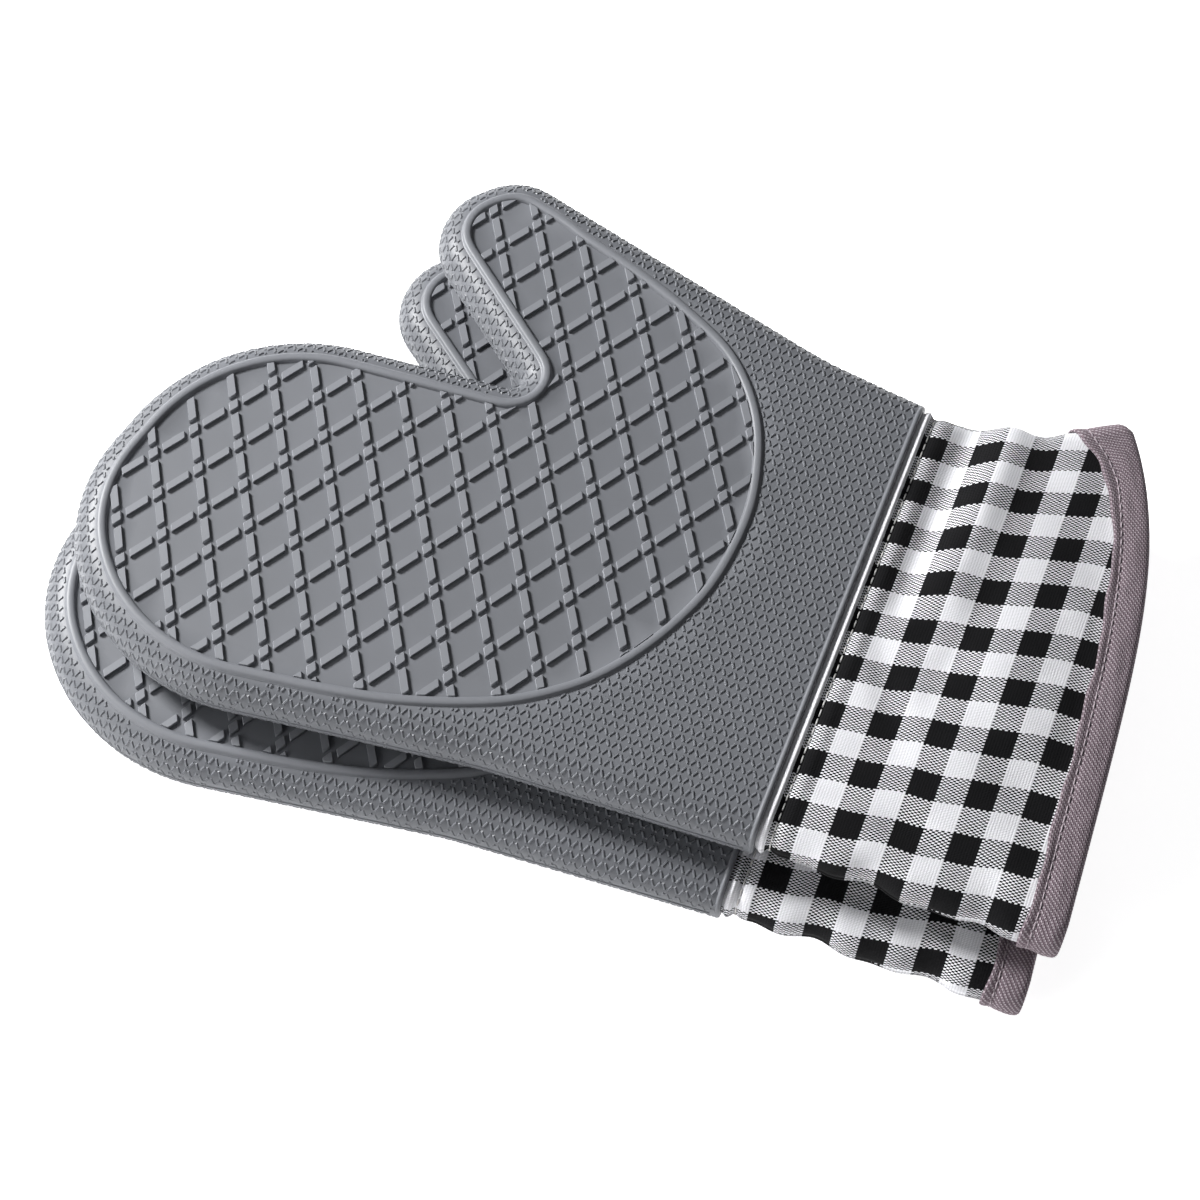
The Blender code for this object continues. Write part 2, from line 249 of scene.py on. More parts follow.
@dataclass
class Net:
    """Points, faces and cloth coordinates gathered for one mesh."""

    points: list[np.ndarray] = field(default_factory=list)
    faces: list[tuple[int, ...]] = field(default_factory=list)
    cloth: list[np.ndarray] = field(default_factory=list)
    # share of the painted highlight at each point, handed to the shader
    painted_highlight: list[np.ndarray] = field(default_factory=list)
    count: int = 0

    def add(
        self,
        points: np.ndarray,
        faces: Iterable[Sequence[int]],
        cloth: np.ndarray | None = None,
        painted_highlight: np.ndarray | float = 0.0,
    ) -> None:
        """Take in a group of points and the faces between them.

        Args:
            points: one point per row, in millimetres.
            faces: point numbers within the group.
            cloth: coordinates at each corner of each face, where the finish is woven.
            painted_highlight: how much of the painted highlight each point takes, from 0 to 1.
        """
        self.faces += [tuple(int(corner) + self.count for corner in face) for face in faces]
        self.points.append(np.asarray(points, float))
        self.painted_highlight.append(np.broadcast_to(painted_highlight, len(points)).astype(np.float32))
        self.count += len(points)
        if cloth is not None:
            self.cloth.append(np.asarray(cloth, float).reshape(-1, 2))

    def add_both(self, points: np.ndarray, faces: Iterable[Sequence[int]], painted_highlight: np.ndarray | float = 0.0) -> None:
        """Take in a group on the top of the mitt and its mirror image on the underside."""
        faces = [tuple(face) for face in faces]
        self.add(points, faces, painted_highlight=painted_highlight)
        self.add(points * (1.0, 1.0, -1.0), [face[::-1] for face in faces], painted_highlight=painted_highlight)

    def build(self, name: str, place: Placement, finish: bpy.types.Material) -> bpy.types.Object:
        """Make the mesh object, shaded smooth.

        Args:
            name: the piece's name.
            place: where its mitt lies.
            finish: its material.

        Returns:
            The new object, at the origin, with its place in its mesh.
        """
        mesh = bpy.data.meshes.new(name)
        mesh.from_pydata(place.world(np.concatenate(self.points)).tolist(), [], self.faces)
        if self.cloth:
            layer = mesh.uv_layers.new(name="cloth")
            layer.data.foreach_set("uv", np.concatenate(self.cloth).ravel().astype(np.float32))
        else:
            # the painted highlight share goes to the shader as a point attribute
            layer = mesh.attributes.new("painted_highlight", "FLOAT", "POINT")
            layer.data.foreach_set("value", np.concatenate(self.painted_highlight))
        mesh.shade_smooth()
        mesh.materials.append(finish)
        mesh.validate(clean_customdata=False)
        mesh.update()
        piece = bpy.data.objects.new(name, mesh)
        bpy.context.collection.objects.link(piece)
        return piece


def flip(faces: np.ndarray) -> np.ndarray:
    """The same faces seen from their other side."""
    return np.asarray(faces)[:, ::-1]


def split_sharp(piece: bpy.types.Object, degrees: float) -> None:
    """Keep crisp the edges that turn by more than an angle."""
    piece.data.set_sharp_from_angle(angle=math.radians(degrees))


# ---- finishes -----------------------------------------------------------------------------------


@dataclass(frozen=True)
class MouldedSilicone:
    """Grey food-grade silicone rubber, compression moulded in a bead-blasted steel mould.

    The blasted mould leaves a satin skin: broad, soft highlights and a faint even grain, with the
    tone drifting a little where the skin is thicker.
    """

    name: str = "grey_silicone_moulded_satin"
    colour: str = "#636569"
    pale: str = "#6D6F74"
    # painted highlight: the lighter tone laid over the tops of the raised bars and beads
    painted_highlight_tone: str = "#86888D"
    roughness: float = 0.44
    ior: float = 1.41
    grain: float = 0.22
    drift: float = 38.0

    def make(self) -> bpy.types.Material:
        """Build the material."""
        material, tree, shader = start_material(self.name)
        place = add_node(tree, "ShaderNodeTexCoord").outputs["Object"]
        slow = add_node(tree, "ShaderNodeTexNoise", Vector=place, Scale=1.0 / (self.drift * METRES), Detail=3.0)
        tone = blend(tree, slow.outputs[0], self.colour, self.pale)
        # painted highlight: the raised bars and beads are painted a little lighter, standing in for the light their
        # tops and edges catch
        painted_highlight = add_node(tree, "ShaderNodeAttribute", {"attribute_name": "painted_highlight"}).outputs["Fac"]
        tone = blend(tree, painted_highlight, tone, self.painted_highlight_tone)
        # bead-blast grain of about 0.2 mm, only just open enough to show
        size = 1.0 / (self.grain * METRES)
        fine = add_node(tree, "ShaderNodeTexNoise", Vector=place, Scale=size, Detail=2.0, Roughness=0.6).outputs[0]
        low, high = self.roughness - 0.05, self.roughness + 0.07
        sheen = add_node(tree, "ShaderNodeMapRange", Value=fine, To_Min=low, To_Max=high).outputs[0]
        bump = add_node(tree, "ShaderNodeBump", Height=fine, Strength=0.22, Distance=0.00005).outputs[0]
        feed(tree, shader, {"Base Color": tone, "Roughness": sheen, "Normal": bump, "IOR": self.ior, "Metallic": 0.0})
        return material


@dataclass(frozen=True)
class WovenCloth:
    """Cloth woven from two sets of yarns; striping both sets gives a check.

    Spun cotton yarns stand up as small rounded floats with a fuzzy, quite matt surface.
    """

    name: str
    warp: tuple[str, str]
    weft: tuple[str, str]
    weave: Weave = Weave.PLAIN
    spacing: float = 0.505
    stretch: float = 1.0
    stripe: int = 17
    relief: float = 0.14
    roughness: float = 0.88
    sheen: float = 0.06
    wander: float = 0.10
    selvedge: float | None = None

    def make(self) -> bpy.types.Material:
        """Build the material from the cloth coordinates, in millimetres."""
        material, tree, shader = start_material(self.name)

        def sums(operation: str, *values: object) -> bpy.types.NodeSocket:
            """One step of arithmetic on sockets and numbers."""
            links = {f"i{spot}": value for spot, value in enumerate(values)}
            return add_node(tree, "ShaderNodeMath", {"operation": operation}, **links).outputs[0]

        def vectors(operation: str, first: object, **second: object) -> bpy.types.NodeSocket:
            """One step of arithmetic on vectors."""
            return add_node(tree, "ShaderNodeVectorMath", {"operation": operation}, i0=first, **second).outputs[0]

        def crown(number: bpy.types.NodeSocket) -> bpy.types.NodeSocket:
            """The rounded profile across each yarn: 0 at its sides and 1 along its middle."""
            side = sums("ABSOLUTE", sums("SUBTRACT", sums("MULTIPLY", sums("FRACT", number), 2.0), 1.0))
            return sums("SUBTRACT", 1.0, sums("POWER", side, 2.0))

        cloth = add_node(tree, "ShaderNodeUVMap", {"uv_map": "cloth"}).outputs[0]
        # hand-spun unevenness: the yarns wander by a small part of their spacing
        drift = add_node(tree, "ShaderNodeTexNoise", Vector=cloth, Scale=0.45, Detail=2.0).outputs[1]
        shift = vectors("SUBTRACT", drift, i1=(0.5, 0.5, 0.5))
        moved = vectors("ADD", cloth, i1=vectors("SCALE", shift, Scale=self.wander * 6.0 * self.spacing))
        counts = vectors("MULTIPLY", moved, i1=(1.0 / (self.spacing * self.stretch), 1.0 / self.spacing, 1.0))
        along, across, _ = add_node(tree, "ShaderNodeSeparateXYZ", Vector=counts).outputs
        weft_number, warp_number = sums("FLOOR", along), sums("FLOOR", across)
        over, repeat = self.weave.value
        step = sums("FLOORED_MODULO", sums("ADD", weft_number, warp_number), float(repeat))
        warp_on_top = sums("LESS_THAN", step, over - 0.5)
        # rounded across the yarn's width and along its float
        weft_crown, warp_crown = crown(along), crown(across)
        warp_height = sums("MULTIPLY", warp_crown, sums("MULTIPLY_ADD", weft_crown, 0.45, 0.55))
        weft_height = sums("MULTIPLY", weft_crown, sums("MULTIPLY_ADD", warp_crown, 0.45, 0.55))
        height = add_node(tree, "ShaderNodeMix", i0=warp_on_top, i2=weft_height, i3=warp_height).outputs[0]
        tones = []
        for number, stripe, colours in (
            (warp_number, float(self.stripe), self.warp),
            (weft_number, self.stripe / self.stretch, self.weft),
        ):
            striped = sums("LESS_THAN", sums("FLOORED_MODULO", number, 2.0 * stripe), stripe)
            tones.append(blend(tree, striped, *colours))
        yarn = blend(tree, warp_on_top, tones[1], tones[0])
        if self.selvedge is not None:
            # the undyed selvedge shows as a white line where the edge is turned in
            yarn = blend(tree, sums("LESS_THAN", along, self.selvedge), yarn, self.warp[0])
        fuzz = add_node(tree, "ShaderNodeTexNoise", Vector=cloth, Scale=3.2, Detail=3.0, Roughness=0.7).outputs[0]
        # painted shade: the small gaps between yarns are painted darker than their crowns, with a random fuzz mottle
        # over both
        shade = sums("MULTIPLY_ADD", sums("POWER", height, 0.6), 0.42, sums("MULTIPLY_ADD", fuzz, 0.22, 0.49))
        painted_gap_shade = add_node(tree, "ShaderNodeCombineColor", i0=shade, i1=shade, i2=shade).outputs[0]
        lift = sums("MULTIPLY_ADD", fuzz, 0.35, height)
        bump = add_node(tree, "ShaderNodeBump", Height=lift, Strength=0.8, Distance=self.relief * METRES)
        feed(tree, shader, {
            "Base Color": blend(tree, 1.0, yarn, painted_gap_shade, blend_type="MULTIPLY"),
            "Roughness": sums("MULTIPLY_ADD", fuzz, 0.1, self.roughness - 0.05),
            "Normal": bump.outputs[0],
            "Sheen Weight": self.sheen,
            "Sheen Roughness": 0.5,
            "Specular IOR Level": 0.2,
            "IOR": 1.5,
            "Metallic": 0.0,
        })
        return material


@dataclass(frozen=True)
class SpunThread:
    """Three-ply spun polyester sewing thread, whose twist shows as fine slanting bands."""

    name: str
    colour: str
    twist: float = 0.55
    roughness: float = 0.62

    def make(self) -> bpy.types.Material:
        """Build the material from the length along the thread and the turn round it."""
        material, tree, shader = start_material(self.name)
        cloth = add_node(tree, "ShaderNodeUVMap", {"uv_map": "cloth"}).outputs[0]
        turns = {"Vector": cloth, "Scale": 1.0 / self.twist, "Distortion": 0.6}
        bands = add_node(tree, "ShaderNodeTexWave", {"bands_direction": "DIAGONAL"}, **turns)
        bump = add_node(tree, "ShaderNodeBump", Height=bands.outputs[1], Strength=0.5, Distance=0.00006)
        fray = add_node(tree, "ShaderNodeTexNoise", Vector=cloth, Scale=4.0).outputs[0]
        low, high = self.roughness - 0.08, self.roughness + 0.12
        feed(tree, shader, {
            "Base Color": blend(tree, 0.35, self.colour, bands.outputs[0], blend_type="MULTIPLY"),
            "Roughness": add_node(tree, "ShaderNodeMapRange", Value=fray, To_Min=low, To_Max=high).outputs[0],
            "Normal": bump.outputs[0],
            "IOR": 1.55,
        })
        return material


@dataclass(frozen=True)
class FibreWadding:
    """Needled polyester wadding: a matted white felt of fine tangled fibres."""

    name: str = "polyester_wadding_needled"
    colour: str = "#EDECE6"
    shade: str = "#D3D1C8"
    fibre: float = 0.9

    def make(self) -> bpy.types.Material:
        """Build the material."""
        material, tree, shader = start_material(self.name)
        place = add_node(tree, "ShaderNodeTexCoord").outputs["Object"]
        stretch = add_node(tree, "ShaderNodeMapping", Vector=place, Scale=(1.0, 2.6, 1.0)).outputs[0]
        tangle = {"Scale": 1.0 / (self.fibre * METRES), "Detail": 6.0, "Roughness": 0.7, "Distortion": 1.4}
        felt = add_node(tree, "ShaderNodeTexNoise", Vector=stretch, **tangle).outputs[0]
        feed(tree, shader, {
            "Base Color": blend(tree, felt, self.shade, self.colour),
            "Roughness": add_node(tree, "ShaderNodeMapRange", Value=felt, To_Min=0.86, To_Max=0.98).outputs[0],
            "Normal": add_node(tree, "ShaderNodeBump", Height=felt, Strength=0.9, Distance=0.0004).outputs[0],
            "Sheen Weight": 0.3,
        })
        return material


# ---- the shape of the hand ----------------------------------------------------------------------


@dataclass(frozen=True)
class HandPlan:
    """The rounded outline of the hand, as the line halfway into its rim.

    corners holds the place and the rounding of each corner, from the finger side of the hem round
    to the thumb side. palm_curve runs from the thumb side to the finger side across the wrist; it
    takes over from the outline beyond flank to either side, from palm_start and palm_end on.
    facet is the widest turn between two points of a rounding.
    """

    corners: tuple[tuple[float, float, float], ...] = (
        (0.0, -74.0, 0.0), (-88.0, -78.5, 100.0), (-199.962, -93.5, 60.0), (-237.5, -50.482, 47.0),
        (-222.43, 23.5, 55.0), (-99.5, 33.0, 12.0), (-174.0, 94.0, 14.0), (-156.182, 112.324, 11.0),
        (-38.0, 79.5, 150.0), (0.0, 74.0, 0.0),
    )
    palm_curve: tuple[tuple[float, float], ...] = (
        (-127.0, 102.9), (-113.0, 98.4), (-99.0, 93.2), (-85.3, 87.2), (-68.9, 78.3), (-57.7, 67.8),
        (-48.8, 54.4), (-43.3, 39.9), (-39.9, 24.0), (-39.7, 7.1), (-42.2, -10.4), (-48.4, -27.0),
        (-56.1, -41.0), (-64.7, -52.3), (-74.4, -60.9), (-84.6, -67.8), (-95.5, -72.9),
        (-107.5, -77.4), (-120.0, -81.2), (-133.0, -84.0), (-146.0, -86.2),
    )
    palm_start: float = -138.0
    palm_end: float = -160.0
    flank: float = 60.0
    rim: float = 10.0
    facet: float = math.radians(7.0)

    def line(self, step: float) -> tuple[np.ndarray, np.ndarray]:
        """Points along the rim's centre line and their outward normals.

        Args:
            step: longest distance between points.

        Returns:
            Two arrays with a row per point, from the finger side of the hem to the thumb side.
        """
        places = np.array([corner[:2] for corner in self.corners])
        points: list[np.ndarray] = [places[0]]
        for index in range(1, len(places) - 1):
            corner, radius = places[index], self.corners[index][2]
            back, ahead = places[index - 1] - corner, places[index + 1] - corner
            back, ahead = back / np.linalg.norm(back), ahead / np.linalg.norm(ahead)
            half = math.acos(float(np.clip(back @ ahead, -1.0, 1.0))) / 2.0
            middle = (back + ahead) / np.linalg.norm(back + ahead)
            centre = corner + middle * radius / math.sin(half)
            arm = corner + back * radius / math.tan(half) - centre
            sign = -1.0 if back[1] * ahead[0] - back[0] * ahead[1] < 0.0 else 1.0
            turn = math.pi - 2.0 * half
            count = max(3, math.ceil(turn * radius / step), math.ceil(turn / self.facet))
            arc = []
            for angle in np.linspace(0.0, sign * turn, count + 1):
                c, s = math.cos(angle), math.sin(angle)
                arc.append(centre + np.array([arm[0] * c - arm[1] * s, arm[0] * s + arm[1] * c]))
            self._straight(points, arc[0], step)
            points += arc[1:]
        self._straight(points, places[-1], step)
        line = np.array(points)
        outward = left_of(unit(np.gradient(line, axis=0)))
        outward[0], outward[-1] = (0.0, -1.0), (0.0, 1.0)
        return line, outward

    @staticmethod
    def _straight(points: list[np.ndarray], end: np.ndarray, step: float) -> None:
        """Carry a run of points on in a straight line to an end."""
        start = points[-1]
        count = max(1, math.ceil(float(np.linalg.norm(end - start)) / step))
        points += [start + (end - start) * share for share in np.linspace(0.0, 1.0, count + 1)[1:]]

    def bead_loop(self, step: float) -> tuple[np.ndarray, np.ndarray]:
        """Closed path of the bead round the gripping panel, and its outward normals.

        Args:
            step: distance between points.

        Returns:
            Points and unit normals, clockwise seen from above.
        """
        line, _ = self.line(step)
        thumb_cut = (line[:, 1] > self.flank) & (line[:, 0] > self.palm_start)
        finger_cut = (line[:, 1] < -self.flank) & (line[:, 0] > self.palm_end)
        kept = line[~(thumb_cut | finger_cut)]
        knots = np.vstack([kept[-2:], np.array(self.palm_curve), kept[:2]])
        curve: list[np.ndarray] = []
        for index in range(1, len(knots) - 2):
            a, b, c, d = knots[index - 1 : index + 3]
            bend, twist = 2 * a - 5 * b + 4 * c - d, 3 * b - a - 3 * c + d
            for t in np.linspace(0.0, 1.0, 9)[:-1]:
                curve.append(0.5 * (2 * b + (c - a) * t + bend * t**2 + twist * t**3))
        loop = resample(np.vstack([kept[:-1], np.array(curve)]), 0.8, closed=True)
        for _ in range(12):
            loop = 0.5 * loop + 0.25 * (np.roll(loop, 1, axis=0) + np.roll(loop, -1, axis=0))
        loop = resample(loop, step, closed=True)
        return loop, left_of(unit(np.roll(loop, -1, axis=0) - np.roll(loop, 1, axis=0)))

    def cut_area(self, radius: float) -> float:
        """Flat area of one half of a layer at a radius, in square metres."""
        line, _ = self.line(2.0)
        after = np.roll(line, -1, axis=0)
        inside = abs(float(np.sum(line[:, 0] * after[:, 1] - after[:, 0] * line[:, 1]))) / 2.0
        return (inside + float(run_along(line)[-1]) * radius * QUARTER) * METRES**2


def resample(points: np.ndarray, step: float, closed: bool = False) -> np.ndarray:
    """Points at even distances along a polyline.

    Args:
        points: the polyline's points, one per row.
        step: distance wanted between points.
        closed: whether the last point joins the first.

    Returns:
        The new points; a closed line doesn't repeat its first.
    """
    run = np.vstack([points, points[:1]]) if closed else points
    lengths = run_along(run)
    count = max(2, int(round(lengths[-1] / step)))
    stations = np.linspace(0.0, lengths[-1], count + 1)
    stations = stations[:-1] if closed else stations
    return np.stack([np.interp(stations, lengths, run[:, axis]) for axis in range(run.shape[1])], axis=1)


@dataclass
class NearLine:
    """Finds the nearest place on a line and the signed distance outward from it."""

    BATCH: ClassVar[int] = 4000

    line: np.ndarray
    normals: np.ndarray

    def find(self, places: np.ndarray) -> tuple[np.ndarray, np.ndarray]:
        """Nearest point number and outward distance for each place.

        Args:
            places: points in the plane.

        Returns:
            Point numbers, and distances that are negative inside.
        """
        numbers = np.empty(len(places), int)
        squares = np.sum(self.line**2, axis=1)[None, :]
        for start in range(0, len(places), self.BATCH):
            part = places[start : start + self.BATCH]
            gaps = np.sum(part**2, axis=1)[:, None] - 2.0 * part @ self.line.T + squares
            numbers[start : start + self.BATCH] = np.argmin(gaps, axis=1)
        across = np.sum((places - self.line[numbers]) * self.normals[numbers], axis=1)
        return numbers, np.where(np.abs(across) > 1e-9, across, 0.0)


def fill(outline: np.ndarray, inner: list[np.ndarray], loose: np.ndarray) -> tuple[np.ndarray, np.ndarray]:
    """Triangles over a closed outline that keep to some inner lines.

    Args:
        outline: the closed outline's points.
        inner: lines that the triangles' edges follow; a line whose ends meet is closed.
        loose: further points to use.

    Returns:
        All the points used and the triangles, turned to face up. The outline's points come first.
    """
    count = len(outline)
    edges = [(i, (i + 1) % count) for i in range(count)]
    groups = [outline]
    for line in inner:
        edges += [(count + i, count + (i + 1) % len(line)) for i in range(len(line))]
        groups.append(line)
        count += len(line)
    groups.append(loose)
    places = np.vstack(groups)
    result = delaunay_2d_cdt([Vector(p) for p in places], edges, [], 1, 1e-5)
    points = np.array([tuple(p) for p in result[0]])
    faces = np.array([tuple(f) for f in result[2] if len(f) == 3])
    a, b, c = points[faces[:, 0]], points[faces[:, 1]], points[faces[:, 2]]
    up = (b - a)[:, 0] * (c - a)[:, 1] - (b - a)[:, 1] * (c - a)[:, 0] > 0.0
    faces[~up] = faces[~up][:, ::-1]
    return points, faces


# ---- the silicone shell -------------------------------------------------------------------------


@dataclass
class SiliconeShell:
    """The moulded hand: a smooth gripping panel with a raised lattice inside a bead, and a fine
    diamond knurl over the wrist and round the rim.

    Heights are from the middle plane. The panel lies a little below the rim's flat, which starts
    outside the bead. knurl_box and lattice_box hold the lines and the crossings that can lie on the
    mitt, with the rim unrolled; knurl_lines, knurl_marks and lattice_cells count them from the origin.
    """

    RIDGE_FACES: ClassVar = ((0, 3, 2, 1), (4, 5, 6, 7), (0, 1, 5, 4), (1, 2, 6, 5), (2, 3, 7, 6), (3, 0, 4, 7))
    RIDGE_SIDES: ClassVar = ((0, 1), (-1, 1), (-1, -1), (0, -1))

    plan: HandPlan
    rim_out: float = 9.7
    rim_up: float = 8.9
    panel: float = 8.5
    inside: float = 7.8
    bar_top: float = 9.65
    bead_half: float = 1.5
    bead_top: float = 10.0
    knurl_pitch: float = 3.22
    knurl_angle: float = 59.8
    knurl_width: float = 1.1
    knurl_height: float = 0.36
    knurl_gap: float = 0.55
    knurl_foot: float = 0.12
    knurl_clear: float = 0.45
    knurl_hem: float = -0.9
    knurl_box: tuple[float, float, float, float] = (-268.0, -0.8, -112.0, 132.0)
    knurl_lines: int = 140
    knurl_marks: int = 95
    lattice_origin: tuple[float, float] = (-97.19, 49.76)
    lattice_half: tuple[float, float] = (8.0, 13.03)
    lattice_box: tuple[float, float, float, float] = (-250.0, -20.0, -115.0, 125.0)
    lattice_cells: int = 20
    bar_width: float = 2.5
    pad_width: float = 3.1
    bar_gap: float = 1.5
    bevel: float = 0.26
    draft: float = 0.15
    hem_bead: float = 0.95
    net_step: float = 9.0

    def build(self, name: str, place: Placement, finish: bpy.types.Material) -> bpy.types.Object:
        """Make the shell as one object.

        Args:
            name: the piece's name.
            place: where its mitt lies.
            finish: its material.

        Returns:
            The shell.
        """
        net = Net()
        self.line, self.normals = self.plan.line(3.4)
        self.loop, self.loop_normals = self.plan.bead_loop(2.4)
        self.fine_line = NearLine(*self.plan.line(0.6))
        self.fine_loop = NearLine(*self.plan.bead_loop(0.8))
        self._sleeve(net)
        self._bead(net)
        self._hem_bead(net)
        self._lattice(net)
        self._knurl(net)
        self._parting_line(net)
        piece = net.build(name, place, finish)
        split_sharp(piece, 42.0)
        return piece

    def level(self, places: np.ndarray) -> np.ndarray:
        """Height of the smooth surface over the flat of the hand: the panel lies a little lower."""
        _, out = self.fine_loop.find(places)
        return np.interp(out, (-0.7, 0.0), (self.panel, self.rim_up))

    def _sleeve(self, net: Net) -> None:
        """The smooth wall under all the raised work, closed round its hem."""
        line, normals, step = self.line, self.normals, self.net_step
        inner = self.loop - self.loop_normals * 0.7
        xs, ys = np.meshgrid(np.arange(-236.0, -4.0, step), np.arange(-90.0, 108.0, step))
        loose = np.stack([xs.ravel() + 2.0 * (np.round(ys.ravel() / step) % 2), ys.ravel()], axis=1)
        _, out = self.fine_line.find(loose)
        _, off = self.fine_loop.find(loose)
        loose = loose[(out < -4.0) & (np.abs(off) > 4.0)]
        wrist = self.loop[self.fine_line.find(self.loop)[1] < -2.5]
        flat, triangles = fill(line, [inner], np.vstack([loose, wrist]))
        count = len(line)
        rows = np.linspace(QUARTER, -QUARTER, 15)
        starts = []
        for radius_out, radius_up, lift, turned in (
            (self.rim_out, self.rim_up, self.level(flat), False),
            (self.inside, self.inside, np.full(len(flat), self.inside), True),
        ):
            start = net.count
            starts.append(start)
            rings = [raised(line + normals * radius_out * math.cos(a), radius_up * math.sin(a)) for a in rows]
            faces = grid_faces(len(rows), count)
            net.add(np.vstack(rings), faces if turned else flip(faces))
            for side, row in ((1.0, 0), (-1.0, len(rows) - 1)):
                shift, extra = start + row * count, net.count - count
                numbers = np.where(triangles < count, triangles + shift, triangles + extra)
                net.faces += [tuple(face) for face in (numbers if (side > 0.0) != turned else flip(numbers)).tolist()]
                net.add(raised(flat, lift * side)[count:], [])
        # the lip at the hem joins the outer and inner walls
        outer, inner_wall = starts
        last = (len(rows) - 1) * count
        for column, forward in ((0, True), (count - 1, False)):
            for a in range(column, last, count):
                quad = (outer + a, outer + a + count, inner_wall + a + count, inner_wall + a)
                net.faces.append(quad if forward else quad[::-1])
        for edge in (0, last):
            quad = (outer + edge, inner_wall + edge, inner_wall + edge + count - 1, outer + edge + count - 1)
            net.faces.append(quad if edge == 0 else quad[::-1])

    def _bead(self, net: Net) -> None:
        """The rounded bead round the panel, on both faces, with a soft foot on each side."""
        top, rim, panel = self.bead_top, self.rim_up, self.panel
        profile = (
            (1.95, rim - 0.05), (1.7, rim + 0.06), (1.5, rim + 0.2), (1.25, top - 0.32), (0.78, top - 0.09),
            (0.0, top), (-0.78, top - 0.09), (-1.25, top - 0.34), (-1.48, top - 0.62),
            (-1.8, panel + 0.03), (-1.8, panel - 0.35), (1.95, rim - 0.4),
        )
        rows = [raised(self.loop + self.loop_normals * across, height) for across, height in profile]
        # the bead takes a quarter of the painted highlight
        net.add_both(np.vstack(rows), grid_faces(len(rows), len(self.loop), True, True), painted_highlight=0.25)

    def _hem_bead(self, net: Net) -> None:
        """The round bead that ends the silicone at its hem."""
        radius, half = self.hem_bead, self.plan.corners[-1][1]
        level, reach = self.bead_top - 0.15 - radius, self.rim_out - radius + 0.3
        turn = np.linspace(0.0, math.pi, 15)[1:-1]
        right = [(half + reach * math.sin(a), level * math.cos(a)) for a in turn]
        top = [(y, level) for y in np.linspace(-half, half, 40)]
        ring = np.array(top + right + [(-y, -z) for y, z in top + right])
        outward = left_of(unit(np.roll(ring, -1, axis=0) - np.roll(ring, 1, axis=0)))
        rows = []
        for angle in np.linspace(0.0, 2.0 * math.pi, 13)[:-1]:
            yz = ring + outward * radius * math.cos(angle)
            rows.append(np.column_stack([np.full(len(ring), -radius + radius * math.sin(angle)), yz]))
        # the hem bead takes a little of the painted highlight
        net.add(np.vstack(rows), flip(grid_faces(len(rows), len(ring), True, True)), painted_highlight=0.15)

    def _lattice(self, net: Net) -> None:
        """Flat-topped bars along the lattice and a small pad at each crossing, within the bead."""
        (ox, oy), (hx, hy) = self.lattice_origin, self.lattice_half
        side = math.hypot(hx, hy)
        one, two = np.array([hx, hy]) / side, np.array([hx, -hy]) / side
        slant = abs(one[0] * two[1] - one[1] * two[0])
        pad, bar = self.pad_width / slant / 2.0, self.bar_width / slant / 2.0
        reach = side / 2.0 - pad - self.bar_gap / slant
        left, right, low, high = self.lattice_box
        cells = range(-self.lattice_cells, self.lattice_cells + 1)
        for i in cells:
            for j in cells:
                node = np.array([ox, oy]) + (one * i + two * j) * side
                if not (left < node[0] < right and low < node[1] < high):
                    continue
                self._block(net, node, one * pad, two * pad)
                self._block(net, node + one * side / 2.0, one * reach, two * bar)
                self._block(net, node + two * side / 2.0, two * reach, one * bar)

    def _block(self, net: Net, middle: np.ndarray, reach: np.ndarray, half: np.ndarray) -> None:
        """One raised block on both faces, cut back where it would run into the bead.

        Args:
            net: the mesh that takes it.
            middle: centre of the block.
            reach: from the centre to the middle of its end.
            half: from the centre to the middle of its side.
        """
        shape = [middle + reach + half, middle + reach - half, middle - reach - half, middle - reach + half]
        clearance = self.bead_half + 0.15
        for _ in range(3):
            numbers, out = self.fine_loop.find(np.array(shape))
            worst = int(np.argmax(out))
            if out[worst] < -clearance + 0.02:
                break
            outward = self.fine_loop.normals[numbers[worst]]
            shape = cut_back(shape, self.fine_loop.line[numbers[worst]] - outward * clearance, outward)
            if len(shape) < 3:
                return
        ring = np.array(shape)
        after = np.roll(ring, -1, axis=0)
        area = float(np.sum(ring[:, 0] * after[:, 1] - after[:, 0] * ring[:, 1])) / 2.0
        _, out = self.fine_loop.find(ring)
        if abs(area) < 0.9 or out.max() > -clearance + 0.3:
            return
        soft = round_off(ring[::-1] if area < 0.0 else ring, 0.22)
        arms = soft.mean(axis=0) - soft
        inward = arms / np.maximum(np.linalg.norm(arms, axis=1)[:, None], 1e-6)
        count = len(soft)
        rings = [
            raised(soft - inward * self.draft, self.panel - 0.1),
            raised(soft, self.bar_top - 0.24),
            raised(soft + inward * self.bevel, self.bar_top),
        ]
        faces = [tuple(face) for face in flip(grid_faces(3, count, False, True))]
        faces += [tuple(range(2 * count, 3 * count)), tuple(range(count - 1, -1, -1))]
        # painted highlight: full at the top of the block's walls, a little less across its top, none at its foot
        net.add_both(np.vstack(rings), faces, painted_highlight=np.repeat((0.0, 1.0, 0.55), count))

    def on_skin(self, places: np.ndarray) -> tuple[np.ndarray, np.ndarray, np.ndarray, np.ndarray]:
        """Wrap places on the unrolled plan round the rim.

        Args:
            places: points in the plane; beyond the centre line they lie round the rim.

        Returns:
            Points on the surface, their normals, the outward distances and the numbers of the
            line's nearest points.
        """
        numbers, out = self.fine_line.find(places)
        beyond = np.maximum(out, 0.0)
        angle = QUARTER - beyond / self.rim_up
        normal = self.fine_line.normals[numbers]
        foot = places - normal * beyond[:, None]
        flat = foot + normal * (self.rim_out * np.cos(angle))[:, None]
        points = np.column_stack([flat, self.rim_up * np.sin(angle)])
        facing = np.column_stack([normal * np.cos(angle)[:, None], np.sin(angle)])
        return points, facing, out, numbers

